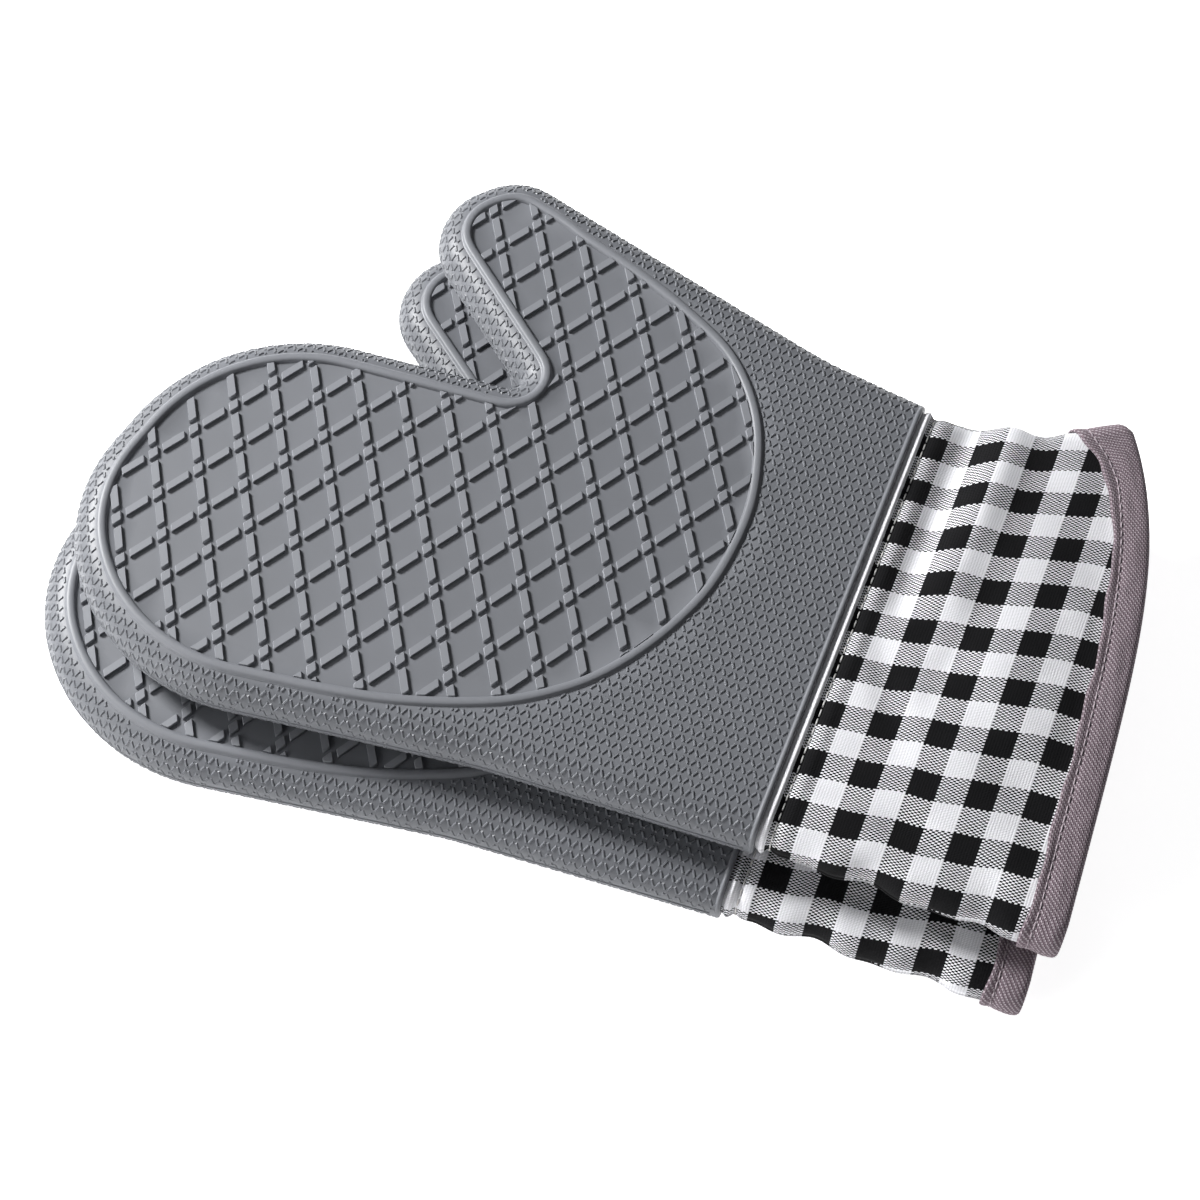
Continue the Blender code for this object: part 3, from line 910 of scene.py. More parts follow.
    def _knurl(self, net: Net) -> None:
        """Short ridges along two crossing families of lines, each stopping just before a crossing."""
        turn = math.radians(self.knurl_angle)
        origin = np.array(self.lattice_origin)
        step = self.knurl_pitch / math.sin(2.0 * turn)
        reach = np.linspace(-1.0, 1.0, 8) * (step / 2.0 - self.knurl_gap)
        left, right, low, high = self.knurl_box
        for sign in (1.0, -1.0):
            along = np.array([math.cos(turn), sign * math.sin(turn)])
            square = np.array([-along[1], along[0]])
            wall = np.array([sign * math.sin(turn), math.cos(turn)])
            for number in range(-self.knurl_lines, self.knurl_lines + 1):
                start = origin + square * self.knurl_pitch * (number + 0.5)
                lead = -float((start - origin) @ wall) / float(along @ wall)
                middles = lead + step * np.arange(-self.knurl_marks, self.knurl_marks + 1)
                places = start + along * (middles[:, None] + reach[None, :])[:, :, None]
                x, y = places[..., 0], places[..., 1]
                near = places[((x > left) & (x < right) & (y > low) & (y < high)).any(axis=1)]
                if len(near):
                    self._dashes(net, near)

    def _dashes(self, net: Net, places: np.ndarray) -> None:
        """Lay one short ridge at each row of places, as far as it lies on the knurled surface."""
        rows, samples = places.shape[:2]
        flat = places.reshape(-1, 2)
        points, facing, out, numbers = self.on_skin(flat)
        _, off = self.fine_loop.find(flat)
        edge = self.rim_up * QUARTER - self.knurl_clear
        good = (out < edge) & (off > self.bead_half + self.knurl_clear) & (points[:, 0] < self.knurl_hem)
        for row in range(rows):
            own = slice(row * samples, (row + 1) * samples)
            kept = np.flatnonzero(good[own]) + row * samples
            if len(kept) < 4 or kept[-1] - kept[0] != len(kept) - 1:
                continue
            # a ridge doesn't leap over the fork between thumb and fingers
            if out[kept].max() > 0.0 and np.abs(np.diff(numbers[kept])).max() > 9:
                continue
            ends = [kept[0], kept[1], kept[-2], kept[-1]]
            self._ridge(net, points[ends], facing[ends])

    def _ridge(self, net: Net, points: np.ndarray, facing: np.ndarray) -> None:
        """One ridge with a narrower top and sloping ends, on both faces.

        Args:
            net: the mesh that takes it.
            points: four places along it: its two ends, and between them the ends of its top.
            facing: the surface's normals there.
        """
        across = np.cross(unit(np.gradient(points, axis=0)), facing)
        across *= self.knurl_width / 2.0 / np.linalg.norm(across, axis=1)[:, None]
        # ridges round the rim stand a little lower, as the mould has to let them go
        rise = self.knurl_height * (0.6 + 0.4 * facing[:, 2] ** 2)
        foot = points - facing * self.knurl_foot
        top = points + facing * rise[:, None]
        body = [foot[end] + across[end] * side for end, side in self.RIDGE_SIDES]
        for end, side in self.RIDGE_SIDES:
            inner = end + 1 if end == 0 else end - 1
            body.append(top[inner] + across[inner] * 0.3 * side)
        net.add_both(np.array(body), self.RIDGE_FACES)

    def _parting_line(self, net: Net) -> None:
        """The fine raised line where the two halves of the mould met, round the rim."""
        line, normals = self.line[1:-1], self.normals[1:-1]
        profile = ((0.0, 0.42), (0.24, 0.2), (0.24, -0.2), (0.0, -0.42), (-0.25, 0.0))
        points = np.vstack([raised(line + normals * (self.rim_out + lift), height) for lift, height in profile])
        count = len(line)
        faces = [tuple(face) for face in flip(grid_faces(len(profile), count, True, False))]
        faces += [tuple(range(0, len(points), count)), tuple(range(len(points) - 1, 0, -count))]
        net.add(points, faces)


def cut_back(shape: list[np.ndarray], wall: np.ndarray, outward: np.ndarray) -> list[np.ndarray]:
    """Cut a flat shape along a straight wall and keep the part behind it.

    Args:
        shape: corners in order.
        wall: any point on the wall.
        outward: the direction that is cut away.

    Returns:
        Corners of what is left.
    """
    kept: list[np.ndarray] = []
    for index, corner in enumerate(shape):
        after = shape[(index + 1) % len(shape)]
        a, b = float((corner - wall) @ outward), float((after - wall) @ outward)
        if a <= 0.0:
            kept.append(corner)
        if (a < 0.0 < b) or (b < 0.0 < a):
            kept.append(corner + (after - corner) * (a / (a - b)))
    return kept


def round_off(ring: np.ndarray, amount: float) -> np.ndarray:
    """Take each corner of a ring off by a small amount."""
    made = []
    for index in range(len(ring)):
        corner, before, after = ring[index], ring[index - 1], ring[(index + 1) % len(ring)]
        for other in (before, after):
            gap = float(np.linalg.norm(other - corner))
            made.append(corner + (other - corner) * min(amount / max(gap, 1e-6), 0.35))
    return np.array(made)


# ---- soft layers inside the hand ----------------------------------------------------------------


@dataclass
class HandLayer:
    """One half of a soft layer inside the shell: flat over the hand and rounded into the rim."""

    plan: HandPlan
    radius: float
    thickness: float
    mouth: float = -15.0
    quilt: float = 0.0
    net_step: float = 6.0

    def build(self, name: str, half: Face, place: Placement, finish: bpy.types.Material) -> bpy.types.Object:
        """Make the half-layer as a closed sheet.

        Args:
            name: the piece's name.
            half: the side of the mitt that it covers.
            place: where its mitt lies.
            finish: its material.

        Returns:
            The layer.
        """
        side = float(half.value)
        line, normals = self.plan.line(4.0)
        keep = line[:, 0] < self.mouth
        line, normals = line[keep], normals[keep]
        line[0, 0] = line[-1, 0] = self.mouth
        normals[0], normals[-1] = (0.0, -1.0), (0.0, 1.0)
        step = self.net_step
        xs, ys = np.meshgrid(np.arange(-236.0, self.mouth - 3.0, step), np.arange(-92.0, 108.0, step))
        loose = np.stack([xs.ravel() + 1.5 * (np.round(ys.ravel() / step) % 2), ys.ravel()], axis=1)
        _, out = NearLine(*self.plan.line(1.0)).find(loose)
        flat, triangles = fill(line, [], loose[out < -3.0])
        count, rows = len(line), np.linspace(0.0, QUARTER, 7)
        rows[0] = math.asin(SPLIT_GAP / self.radius)
        last = (len(rows) - 1) * count
        net = Net()
        starts = []
        for radius, turned in ((self.radius, False), (self.radius - self.thickness, True)):
            start = net.count
            starts.append(start)
            rings = [raised(line + normals * radius * math.cos(a), radius * math.sin(a) * side) for a in rows]
            dip = np.zeros(len(flat)) if turned else self.quilt * (smooth_noise(flat, 34.0, 3.0 + side) - 1.0)
            rings[-1][:, 2] += dip[:count] * side * 0.3
            faces = grid_faces(len(rows), count)
            way = (side > 0.0) != turned
            net.add(np.vstack(rings), flip(faces) if way else faces)
            # the outline's own points are the last ring; the flat's other points follow it
            caps = triangles + start + last
            net.faces += [tuple(face) for face in (caps if way else flip(caps)).tolist()]
            net.add(raised(flat, (radius + dip) * side)[count:], [])
        a, b = starts
        rim = list(range(count)) + [row * count + count - 1 for row in range(1, len(rows))]
        rim += [row * count for row in range(len(rows) - 1, 0, -1)]
        for here, there in zip(rim, rim[1:] + rim[:1]):
            quad = (a + here, a + there, b + there, b + here)
            net.faces.append(quad if side < 0.0 else quad[::-1])
        points = np.concatenate(net.points)
        net.points = [points]
        net.cloth = [points[np.concatenate([np.array(face) for face in net.faces])][:, :2]]
        return net.build(name, place, finish)


# ---- the cuff -----------------------------------------------------------------------------------


@dataclass(frozen=True)
class Crease:
    """A soft valley or ridge in the cuff, from one place to another."""

    start: tuple[float, float]
    end: tuple[float, float]
    lift: float
    width: float

    def at(self, places: np.ndarray) -> np.ndarray:
        """How far it moves the cloth at each place."""
        a, b = np.array(self.start), np.array(self.end)
        along = b - a
        share = np.clip((places - a) @ along / (along @ along), 0.0, 1.0)
        gap = np.linalg.norm(places - a - share[:, None] * along, axis=1)
        fade = 0.35 + 0.65 * np.sin(math.pi * (0.12 + 0.76 * share))
        return self.lift * fade * np.exp(-((gap / self.width) ** 2))


@dataclass
class Cuff:
    """The woven cuff: outer cloth, lining, folded binding and two rows of stitches.

    x runs from the silicone hem towards the open edge. share runs across, from 0 at the finger
    side to 1 at the thumb side. angle turns round the folded sides: a quarter turn is the top,
    minus a quarter turn the underside.
    """

    half: float = 74.0
    length: float = 94.0
    tuck: float = 14.7
    lean: float = 8.0
    cutback: float = 20.0
    curve: float = 4.8
    corner: float = 5.0
    flare: float = 22.5
    flare_power: float = 2.2
    radius: float = 7.5
    thickness: float = 0.8
    lining_radius: float = 6.4
    lining_thickness: float = 0.7
    tape: float = 12.0
    tape_thickness: float = 0.8
    seam: float = 4.5
    tape_seam: float = 9.2
    stitch: float = 3.3
    thread: float = 0.5
    puff: float = 1.6
    ripple: float = 0.9
    seed: float = 1.0
    folds: tuple[float, float] = (0.13, 0.23)
    weave_shift: tuple[float, float] = (-2.6, 7.1)
    top_creases: tuple[Crease, ...] = ()
    low_creases: tuple[Crease, ...] = ()

    def hem(self, share: np.ndarray, angle: np.ndarray | float = QUARTER) -> np.ndarray:
        """How far from the silicone hem the cuff's edge lies, falling back to a rounded thumb corner.

        Args:
            share: place across the cuff.
            angle: place round the side; round the thumb side the cut runs on in the same curve.

        Returns:
            Distances from the silicone hem.
        """
        corner = np.where(share >= 1.0, self.corner * np.cos(angle), 0.0)
        return self.length - self.lean * share - self.cutback * share**self.curve - corner

    def side(self, x: np.ndarray) -> np.ndarray:
        """Centre line of the cuff's thumb side at each distance from the silicone."""
        end = self.length - self.lean - self.cutback
        back = self.half - 5.5 / 38.0 * np.minimum(x, 0.0)
        return back + self.flare * np.clip(x / end, 0.0, 1.0) ** self.flare_power + self.edge_ripple(x, end, 2.0)

    def finger_side(self, x: np.ndarray) -> np.ndarray:
        """Centre line of the cuff's finger side at each distance from the silicone."""
        return -self.half + 4.5 / 88.0 * np.minimum(x, 0.0) + self.edge_ripple(x, self.length, 0.0)

    def edge_ripple(self, x: np.ndarray, end: float, phase: float) -> np.ndarray:
        """Small waves in the folded sides, dying out at the silicone and at the binding."""
        held = np.clip(x / 12.0, 0.0, 1.0) * np.clip((end - self.tape - x) / 12.0, 0.0, 1.0)
        wave = np.sin(x / 5.2 + self.seed + phase) + 0.7 * np.sin(x / 2.9 + 2.0 * self.seed + phase)
        return self.ripple * held * wave

    def around(self, first: int, last: int) -> tuple[np.ndarray, np.ndarray]:
        """Places round the cuff: 0 to 1 is the top, 1 to 2 the bottom.

        Args:
            first: 0 to start at the finger side, 1 at the thumb side.
            last: 1 or 2.

        Returns:
            Shares across and angles round the sides.
        """
        arc = np.linspace(0.0, QUARTER, 8)
        flat = np.linspace(0.0, 1.0, 106)[1:-1]
        share = np.concatenate([np.zeros(8), flat, np.ones(8)])
        angle = np.concatenate([arc, np.full(len(flat), QUARTER), arc[::-1]])
        if (first, last) == (0, 1):
            return share, angle
        if (first, last) == (1, 2):
            return share[::-1], -angle[::-1]
        return np.concatenate([share[:-1], share[::-1][:-1]]), np.concatenate([angle[:-1], -angle[::-1][:-1]])

    def wrinkles(self, x: np.ndarray, share: np.ndarray, angle: np.ndarray) -> np.ndarray:
        """How far the cloth stands off its resting shape.

        Args:
            x: distance from the silicone hem.
            share: place across the cuff.
            angle: place round the side.

        Returns:
            Distance outward at each place.
        """
        y = self.finger_side(x) + (self.side(x) - self.finger_side(x)) * share
        places = np.stack([x, y], axis=1)
        leaf = self.hem(share, angle) - self.tape
        held = np.clip(x / 9.0, 0.0, 1.0) * np.clip((leaf - x) / 9.0, 0.0, 1.0)
        held = held * held * (3.0 - 2.0 * held)
        on_top = angle > 0.0
        room = np.where(on_top, 1.0, 0.45)
        flatness = np.abs(np.sin(angle)) ** 2
        swell = np.sin(math.pi * np.clip(x / np.maximum(leaf, 1.0), 0.0, 1.0)) * (1.0 - (2.0 * share - 1.0) ** 4)
        slow = 0.5 * smooth_noise(places, 46.0, self.seed) + 0.22 * smooth_noise(places, 21.0, self.seed + 4.0)
        made = (self.puff * swell + slow) * held
        for creases, here in ((self.top_creases, on_top), (self.low_creases, ~on_top)):
            for crease in creases:
                made += np.where(here, crease.at(places), 0.0) * np.minimum(held * 2.0, 1.0)
        made *= flatness * room
        # the cloth draws in at the stitches and gathers into short tucks beside both seams
        gather = np.sin(y / 2.9 + 0.8 * np.sin(y / 7.0 + self.seed)) + 0.6 * np.sin(y / 1.7 + self.seed)
        made += 0.16 * gather * np.clip((x - 1.0) / 4.0, 0.0, 1.0) * np.exp(-np.maximum(x - self.seam, 0.0) / 5.0)
        made += 0.14 * gather * np.exp(-np.maximum(leaf - x, 0.0) / 4.5) * (x < leaf + 1.0)
        # the turned-in edge stands up beside the silicone and dips at its stitches
        made += 1.3 * bell(x, 2.0, 1.3) - 0.3 * bell(x, 3.7, 0.5)
        return made - 0.5 * bell(x, self.seam, 0.8) + 0.35 * bell(x, self.seam + 3.2, 1.8)

    def point(self, x: np.ndarray, share: np.ndarray, angle: np.ndarray, radius: np.ndarray) -> np.ndarray:
        """Points of a cuff layer at a radius.

        Args:
            x: distance from the silicone hem.
            share: place across the cuff.
            angle: place round the side.
            radius: distance out from the middle plane or side line.

        Returns:
            One point per row.
        """
        low, high = self.finger_side(x), self.side(x)
        way = np.where(share == 1.0, 1.0, 0.0) - np.where(share == 0.0, 1.0, 0.0)
        y = low + (high - low) * share + way * radius * np.cos(angle)
        return np.column_stack([x, y, radius * np.sin(angle)])

    def cloth_at(self, x: np.ndarray, share: np.ndarray, angle: np.ndarray) -> tuple[np.ndarray, np.ndarray]:
        """Cloth coordinates: along the mitt, and across it following the flare halfway."""
        low, high = self.finger_side(x), self.side(x)
        y = low + (high - low) * share
        even = (share - 0.5) * 2.0 * self.half
        turn = self.radius * (QUARTER - np.abs(angle))
        wrap = np.where(share <= 0.0, -turn, 0.0) + np.where(share >= 1.0, turn, 0.0)
        across = 0.5 * y + 0.5 * even + wrap - 0.13 * x
        return x + self.weave_shift[0], across + self.weave_shift[1]

    def sheet(
        self, name: str, first: int, last: int, place: Placement, finish: bpy.types.Material, lining: bool = False
    ) -> bpy.types.Object:
        """Make the front or back panel of the cuff, or its whole lining, as a closed sheet.

        Args:
            name: the piece's name.
            first: 0 to start at the finger side, 1 at the thumb side.
            last: 1 or 2.
            place: where its mitt lies.
            finish: its material.
            lining: whether this is the smooth inner layer.

        Returns:
            The sheet.
        """
        share, angle = self.around(first, last)
        part = np.linspace(0.0, 1.0, 40 if lining else 80)
        # closer rows where the turned-in edge and the stitches make small folds
        part = part if lining else np.unique(np.concatenate([part, np.linspace(*self.folds, 24)]))
        end = self.hem(share, angle) - self.tape_thickness - 0.3
        x = -self.tuck + (end[None, :] + self.tuck) * part[:, None]
        rows, cols = x.shape
        share, angle = np.broadcast_to(share, x.shape).ravel(), np.broadcast_to(angle, x.shape).ravel()
        x = x.ravel()
        radius, thick = (self.lining_radius, self.lining_thickness) if lining else (self.radius, self.thickness)
        lift = self.wrinkles(x, share, angle)
        lift = np.minimum(lift, 0.0) if lining else lift
        whole = last - first == 2
        if not whole:
            gap = math.asin(SPLIT_GAP / radius)
            angle = np.where(np.abs(angle) < gap, gap if first == 0 else -gap, angle)
        outer = self.point(x, share, angle, radius + lift).reshape(rows, cols, 3)
        inner = self.point(x, share, angle, radius - thick + lift).reshape(rows, cols, 3)
        u, v = (axis.reshape(rows, cols) for axis in self.cloth_at(x, share, angle))
        net = Net()
        if whole:
            tube = np.concatenate([outer, inner[::-1]], axis=0)
            us, vs = (np.concatenate([axis, axis[::-1], axis[:1]], axis=0) for axis in (u, v))
            us, vs = np.hstack([us, us[:, :1]]), np.hstack([vs, vs[:, -1:] + 1.4])
            net.add(tube.reshape(-1, 3), grid_faces(2 * rows, cols, True, True), grid_cloth(us, vs))
            return net.build(name, place, finish)
        both = np.concatenate([outer, inner[:, ::-1]], axis=1)
        us, vs = (np.hstack([axis, axis[:, ::-1], axis[:, :1]]) for axis in (u, v))
        net.add(both.reshape(-1, 3), grid_faces(rows, 2 * cols, False, True), grid_cloth(us, vs))
        for row, forward in ((0, True), (rows - 1, False)):
            for c in range(cols - 1):
                quad = np.array([c, c + 1, 2 * cols - 2 - c, 2 * cols - 1 - c])
                quad = quad if forward else quad[::-1]
                net.faces.append(tuple((row * 2 * cols + quad).tolist()))
                net.cloth.append(np.stack([us[row, quad], vs[row, quad]], axis=1))
        return net.build(name, place, finish)

    def slant(self, share: np.ndarray) -> np.ndarray:
        """Length along the mitt of a unit measured square to the cuff's edge."""
        low, high = np.clip(share - 0.01, 0.0, 1.0), np.clip(share + 0.01, 0.0, 1.0)
        return np.hypot(1.0, (self.hem(high) - self.hem(low)) / ((high - low) * 2.0 * self.half))

    def tape_lift(self, run: np.ndarray, back: np.ndarray) -> np.ndarray:
        """How the binding stands off: drawn in along its stitches, puffed and wavy between."""
        dimple = 0.65 + 0.35 * np.cos(2.0 * math.pi * run / self.stitch)
        flat = np.stack([run, back * 2.0], axis=1)
        made = -0.6 * bell(back, self.tape_seam, 0.8) * dimple
        made += 0.22 * bell(back, 5.0, 2.6) * (1.0 + 0.5 * smooth_noise(flat, 9.0, self.seed))
        made += 0.16 * smooth_noise(flat, 17.0, self.seed + 2.0)
        return made + 0.3 * bell(back, 11.2, 1.1)

    def binding(self, name: str, place: Placement, finish: bpy.types.Material) -> bpy.types.Object:
        """Make the tape folded over the cuff's edge.

        Args:
            name: the piece's name.
            place: where its mitt lies.
            finish: its material.

        Returns:
            The binding.
        """
        share, angle = self.around(0, 2)
        leaf_out, leaf_in, thick = self.radius + 1.1, self.radius - 2.9, self.tape_thickness
        bend = (leaf_out - leaf_in) / 2.0
        turn = np.linspace(QUARTER, -QUARTER, 9)
        leaf = np.linspace(self.tape, bend, 15)[:-1]
        sides = []
        for inset in (0.0, thick):
            small, centre = bend - inset, leaf_out - bend
            fold = [(bend - small * math.cos(t), centre + small * math.sin(t)) for t in turn]
            sides.append([(a, leaf_out - inset) for a in leaf] + fold + [(a, leaf_in + inset) for a in leaf[::-1]])
        profile = np.array(sides[0] + sides[1][::-1])
        across = run_along(np.array(sides[0]))
        across = np.concatenate([across, across[::-1], across[:1]])
        cols = len(share)
        x_edge, slant = self.hem(share, angle), self.slant(share)
        edge = self.point(x_edge, share, angle, np.full(cols, self.radius))
        run = run_along(np.vstack([edge, edge[:1]]))
        wave = 0.35 * np.sin(run[:-1] / 6.1 + self.seed) + 0.2 * np.sin(run[:-1] / 2.6)
        rows = []
        for back, radius in profile:
            away = back + (wave * max(0.0, back - 8.0) / 4.0)
            lift = self.tape_lift(run[:-1], np.full(cols, back))
            lift = lift if radius > self.radius - 0.5 else -lift * 0.4
            fade = 1.0 if back > bend else 0.35
            rows.append(self.point(x_edge - away * slant, share, angle, radius + lift * fade))
        net = Net()
        count = len(rows)
        us = np.broadcast_to(run[None, :], (count + 1, cols + 1))
        vs = np.broadcast_to(across[:, None], (count + 1, cols + 1))
        net.add(np.vstack(rows), flip(grid_faces(count, cols, True, True)), grid_cloth(us, vs)[:, ::-1])
        return net.build(name, place, finish)

    def stitches(self, name: str, beside_tape: bool, place: Placement, finish: bpy.types.Material) -> bpy.types.Object:
        """Make one row of stitches, each thread dipping into the cloth at both ends.

        Args:
            name: the piece's name.
            beside_tape: the row on the binding, otherwise the row beside the silicone.
            place: where its mitt lies.
            finish: its material.

        Returns:
            The row of stitches.
        """
        share, angle = self.around(0, 2)
        share, angle = np.append(share, share[0]), np.append(angle, angle[0])
        if beside_tape:
            x = self.hem(share, angle) - self.tape_seam * self.slant(share)
            edge = self.point(self.hem(share, angle), share, angle, np.full(len(share), self.radius))
            lift = self.tape_lift(run_along(edge), np.full(len(share), self.tape_seam))
            radius = self.radius + 1.1 + lift
        else:
            x = np.full(len(share), self.seam)
            radius = self.radius + self.wrinkles(x, share, angle)
        spine = self.point(x, share, angle, radius)
        out = self.point(x, share, angle, radius + 1.0) - spine
        run = run_along(spine)
        count = int(run[-1] / self.stitch)
        pitch, half = run[-1] / count, self.thread / 2.0
        # along one stitch: its place, how far its middle stands off the cloth, and its thickness
        shares, rises, widths = np.array([
            (0.08, -0.25, 0.6), (0.16, 0.1, 0.95), (0.32, 0.24, 1.0), (0.5, 0.27, 1.0),
            (0.68, 0.24, 1.0), (0.84, 0.1, 0.95), (0.92, -0.25, 0.6),
        ]).T
        ring = np.linspace(0.0, 2.0 * math.pi, 7)
        long, turns = len(shares), len(ring) - 1
        net = Net()
        for number in range(count):
            stations = (number + shares) * pitch
            middle = np.stack([np.interp(stations, run, spine[:, k]) for k in range(3)], axis=1)
            normal = unit(np.stack([np.interp(stations, run, out[:, k]) for k in range(3)], axis=1))
            middle += normal * rises[:, None]
            along = unit(np.gradient(middle, axis=0))
            square = np.cross(along, normal)
            up = np.cross(square, along)
            width = (half * widths)[:, None]
            rows = [middle + (square * math.cos(a) + up * math.sin(a)) * width for a in ring[:-1]]
            us = np.broadcast_to(stations[None, :], (turns + 1, long))
            vs = np.broadcast_to((ring * half)[:, None], (turns + 1, long))
            base = net.count
            net.add(np.vstack(rows), grid_faces(turns, long, True, False), grid_cloth(us, vs))
            first_end = [base + r * long for r in range(turns)]
            last_end = [corner + long - 1 for corner in first_end]
            net.faces += [tuple(first_end), tuple(last_end[::-1])]
            net.cloth.append(np.zeros((2 * turns, 2)))
        return net.build(name, place, finish)

    def cut_area(self) -> float:
        """Flat area of one panel, in square metres."""
        share = np.linspace(0.0, 1.0, 201)
        width = 2.0 * self.half + self.flare * 0.35 + math.pi * self.radius
        return float(np.mean(self.hem(share) + self.tuck)) * width * METRES**2

    def cut_size(self) -> tuple[float, float]:
        """Width and length of the rectangle that one panel is cut from, in metres."""
        width = 2.0 * self.half + self.flare + math.pi * self.radius
        return (width * METRES, (self.length + self.tuck) * METRES)


# ---- one mitt -----------------------------------------------------------------------------------


@dataclass
class Finishes:
    """Every material in the pair."""

    silicone: bpy.types.Material
    gingham: bpy.types.Material
    lining: bpy.types.Material
    tape: bpy.types.Material
    white_thread: bpy.types.Material
    tape_thread: bpy.types.Material
    wadding: bpy.types.Material

    @staticmethod
    def make() -> "Finishes":
        """Build them all."""
        check = ("#F6F6FA", "#09090C"), ("#F6F6FA", "#09090C")
        plain = ("#EFEDE8", "#EFEDE8"), ("#E9E7E1", "#E9E7E1")
        twill = ("#75666E", "#75666E"), ("#B7ABB2", "#B7ABB2")
        return Finishes(
            silicone=MouldedSilicone().make(),
            gingham=WovenCloth("gingham_cotton_plain_woven", *check, stretch=1.7, sheen=0.02, selvedge=0.5).make(),
            lining=WovenCloth("white_cotton_plain_woven", *plain, spacing=0.55, relief=0.08).make(),
            tape=WovenCloth("mauve_cotton_twill_tape", *twill, weave=Weave.TWILL, spacing=0.56, relief=0.22).make(),
            white_thread=SpunThread("white_polyester_thread_spun", "#E6E4E2").make(),
            tape_thread=SpunThread("mauve_polyester_thread_spun", "#B3A6AD").make(),
            wadding=FibreWadding().make(),
        )


@dataclass
class OvenMitt:
    """One mitt: its shell, the soft layers in it and its cuff."""

    prefix: str
    yaw: float
    cuff: Cuff
    plan: HandPlan = field(default_factory=HandPlan)

    @property
    def body(self) -> str:
        """The moving body that all its pieces ride on."""
        return f"{self.prefix}_mitt"

    def placement(self) -> Placement:
        """Where the mitt lies: its outline's box is matched to the CAD shell's box."""
        low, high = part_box(f"{self.prefix}_silicone_shell")
        line, normals = self.plan.line(0.5)
        rim = line + normals * self.plan.rim
        c, s = math.cos(self.yaw), math.sin(self.yaw)
        turned = rim @ np.array([[c, s], [-s, c]]) * METRES
        x, y = (turned.min(axis=0) + turned.max(axis=0)) / 2.0
        centre = (low + high) / 2.0
        return Placement((centre.x - x, centre.y - y, centre.z), self.yaw)

    def finish(self, piece: bpy.types.Object, node: str, slot: str) -> bpy.types.Object:
        """Say what a piece rides on and which CAD part it stands for, and log its face count."""
        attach(piece, self.body)
        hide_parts(f"{self.prefix}_{node}")
        LOG.info("%s: %d faces", piece.name, len(piece.data.polygons))
        return piece

    def build(self, finishes: Finishes) -> None:
        """Build and dress every piece of the mitt.

        Args:
            finishes: the materials.
        """
        place, name = self.placement(), self.prefix
        shell = SiliconeShell(self.plan).build(f"{name}_moulded_shell", place, finishes.silicone)
        self.finish(shell, "silicone_shell", "grey_silicone")
        wadding_layer = HandLayer(self.plan, 7.5, 2.0, quilt=0.12)
        lining_layer = HandLayer(self.plan, 5.2, 0.8)
        for half in Face:
            side = half.name.lower()
            pad = wadding_layer.build(f"{name}_quilted_wadding_{side}", half, place, finishes.wadding)
            self.finish(pad, f"wadding_{side}", "polyester_wadding")
            cloth = lining_layer.build(f"{name}_hand_lining_{side}", half, place, finishes.lining)
            self.finish(cloth, f"lining_{side}", "white_cotton")
            self.plan.cut_area(5.2)
        for side, first, last in (("front", 0, 1), ("back", 1, 2)):
            panel = self.cuff.sheet(f"{name}_gingham_cuff_{side}", first, last, place, finishes.gingham)
            self.finish(panel, f"cuff_{side}", "gingham_cotton")
            self.cuff.cut_size()
            self.cuff.cut_area()
        inner = self.cuff.sheet(f"{name}_cuff_inner_lining", 0, 2, place, finishes.lining, lining=True)
        self.finish(inner, "cuff_lining", "white_cotton")
        width, length = self.cuff.cut_size()
        2.0 * self.cuff.cut_area()
        tape = self.cuff.binding(f"{name}_folded_binding", place, finishes.tape)
        self.finish(tape, "hem_binding", "mauve_twill")
        row = self.cuff.stitches(f"{name}_cuff_stitch_row", False, place, finishes.white_thread)
        self.finish(row, "cuff_stitching", "sewing_thread")
        row = self.cuff.stitches(f"{name}_binding_stitch_row", True, place, finishes.tape_thread)
        self.finish(row, "binding_stitching", "sewing_thread")


# ---- the studio ---------------------------------------------------------------------------------


@dataclass(frozen=True)
class Softbox:
    """A square diffused studio light."""

    name: str
    offset: tuple[float, float, float]
    size: float
    power: float
    colour: str = "#FFFFFF"

    def place(self, target: Vector) -> None:
        """Hang the light at its offset, aimed at the target."""
        light = bpy.data.lights.new(self.name, "AREA")
        light.shape, light.size, light.energy = "SQUARE", self.size, self.power
        light.color = linear(self.colour)[:3]
        lamp = bpy.data.objects.new(self.name, light)
        bpy.context.collection.objects.link(lamp)
        lamp.location = target + Vector(self.offset)
        lamp.rotation_euler = (-Vector(self.offset)).to_track_quat("-Z", "Y").to_euler()


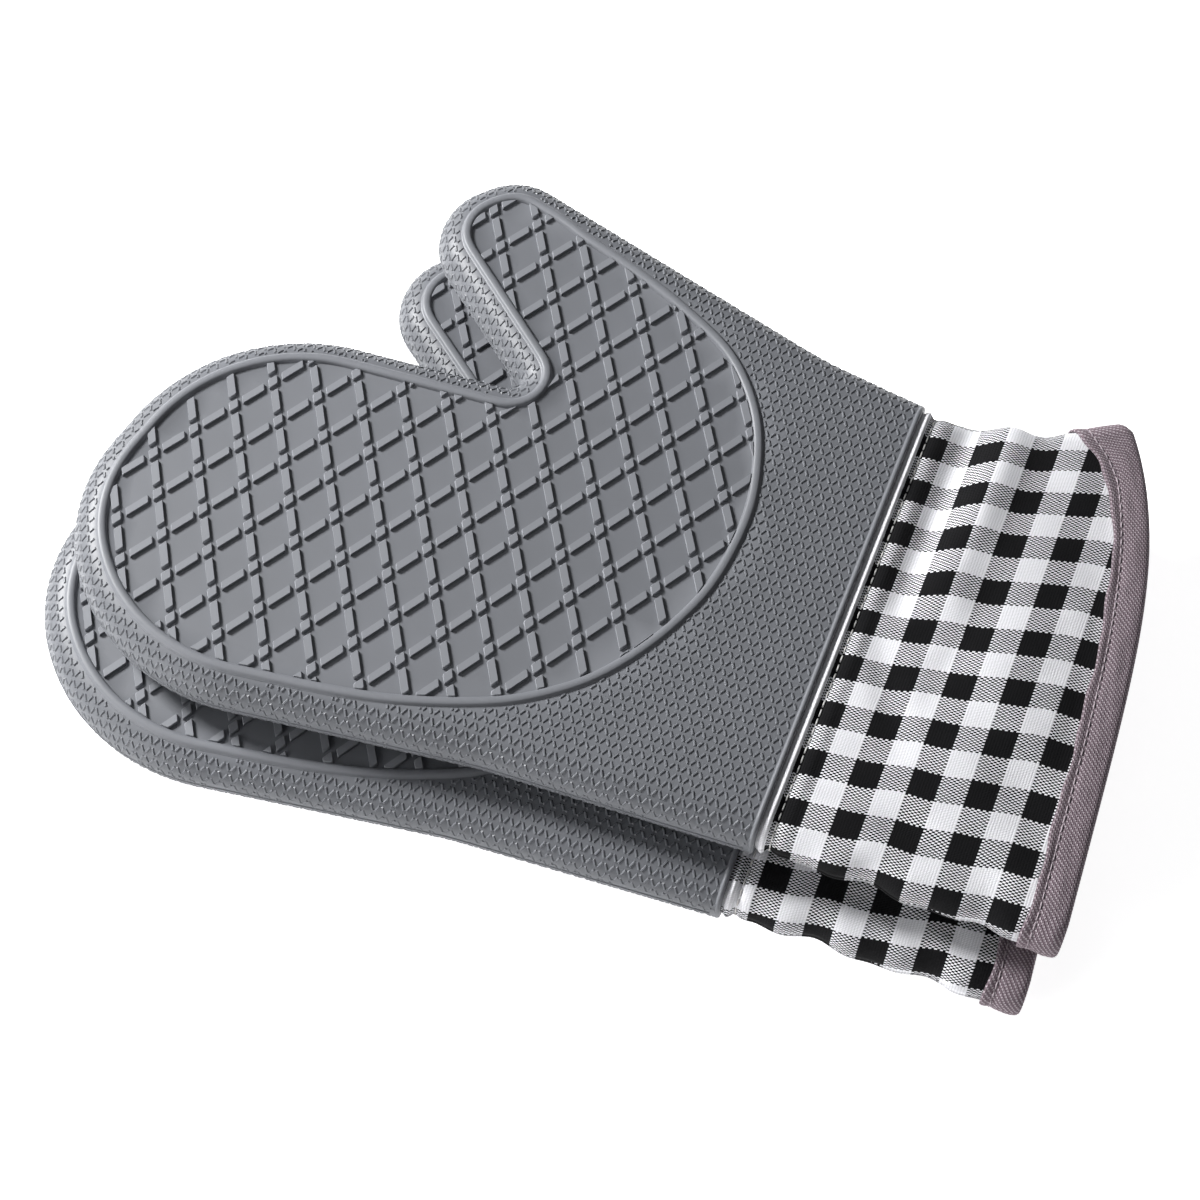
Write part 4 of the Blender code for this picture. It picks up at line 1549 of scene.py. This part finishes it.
@dataclass
class Studio:
    """Pale floor, soft lights and the camera."""

    azimuth: float = 20.28
    elevation: float = 61.32
    distance: float = 0.7572
    aim: tuple[float, float, float] = (0.0043, -0.0240, 0.030)
    lens: float = 72.0
    reach: float = 3.0
    floor_tone: str = "#F6F6F6"
    glow: float = 0.85
    air_tone: str = "#F4F6FA"
    air_light: float = 0.11
    lights: tuple[Softbox, ...] = (
        Softbox("key_softbox", (-0.90, 0.18, 0.60), 0.26, 23.5),
        Softbox("overhead_softbox", (-0.15, 0.10, 1.30), 1.10, 1.0),
        Softbox("front_fill", (-0.62, -0.80, 0.34), 0.6, 5.0),
    )

    def build(self) -> None:
        """Set up the floor, the world, the lights and the camera."""
        target = Vector(self.aim)
        mesh = bpy.data.meshes.new("studio_floor")
        signs = ((-1, -1), (1, -1), (1, 1), (-1, 1))
        mesh.from_pydata([(self.reach * x, self.reach * y, 0.0) for x, y in signs], [], [(0, 1, 2, 3)])
        floor = bpy.data.objects.new("studio_floor", mesh)
        bpy.context.collection.objects.link(floor)
        mesh.materials.append(self.sweep())
        world = bpy.data.worlds.new("studio_air")
        world.use_nodes = True
        air = {"Color": linear(self.air_tone), "Strength": self.air_light}
        feed(world.node_tree, world.node_tree.nodes["Background"], air)
        bpy.context.scene.world = world
        for light in self.lights:
            light.place(target)
        lens = bpy.data.cameras.new("camera")
        lens.lens, lens.sensor_width = self.lens, 36.0
        camera = bpy.data.objects.new("camera", lens)
        bpy.context.collection.objects.link(camera)
        turn, rise = math.radians(self.azimuth), math.radians(self.elevation)
        back = Vector((math.sin(turn) * math.cos(rise), -math.cos(turn) * math.cos(rise), math.sin(rise)))
        camera.location = target + back * self.distance
        camera.rotation_euler = back.to_track_quat("Z", "Y").to_euler()
        bpy.context.scene.camera = camera
        bpy.context.scene.view_settings.view_transform = "Standard"

    def sweep(self) -> bpy.types.Material:
        """Matt painted studio sweep: near white, with the faint mottle of rolled paint."""
        material, tree, shader = start_material("studio_sweep_matt_paint")
        place = add_node(tree, "ShaderNodeTexCoord").outputs["Object"]
        mottle = add_node(tree, "ShaderNodeTexNoise", Vector=place, Scale=60.0, Detail=2.0).outputs[0]
        # the sweep is lit from below, as on a shooting table, so shadows on it stay pale
        feed(tree, shader, {
            "Base Color": blend(tree, mottle, self.floor_tone, "#FAFAFA"),
            "Roughness": 0.9,
            "Emission Color": linear("#FFFFFF"),
            "Emission Strength": self.glow,
        })
        return material


UPPER_CREASES = (
    Crease((17.0, 86.0), (15.0, 8.0), -3.3, 5.5),
    Crease((31.0, 88.0), (27.0, 20.0), 2.8, 7.5),
    Crease((50.0, 60.0), (62.0, -30.0), 0.8, 14.0),
    Crease((14.0, -8.0), (30.0, -40.0), -1.0, 5.0),
    Crease((12.0, -58.0), (70.0, -70.0), -1.2, 4.0),
    Crease((40.0, 20.0), (34.0, -20.0), -0.7, 5.0),
)
LOWER_CREASES = (
    Crease((10.0, -60.0), (60.0, -72.0), -1.0, 5.0),
    Crease((30.0, -70.0), (40.0, -20.0), 0.8, 7.0),
)
UNDER_CREASES = (
    Crease((16.0, 60.0), (22.0, -50.0), -1.4, 7.0),
    Crease((46.0, 70.0), (56.0, -40.0), -1.0, 8.0),
)


def main() -> None:
    """Build the pair and the studio."""
    logging.basicConfig(level=logging.INFO, format="%(message)s")
    finishes = Finishes.make()
    lower_cuff = Cuff(
        puff=1.0, seed=2.0, weave_shift=(8.7, 6.1), top_creases=LOWER_CREASES, low_creases=UNDER_CREASES
    )
    upper_cuff = Cuff(seed=1.0, top_creases=UPPER_CREASES, low_creases=UNDER_CREASES)
    for mitt in (OvenMitt("lower", 0.0, lower_cuff), OvenMitt("upper", math.radians(-1.3), upper_cuff)):
        mitt.build(finishes)
    Studio().build()


if __name__ == "__main__":
    main()
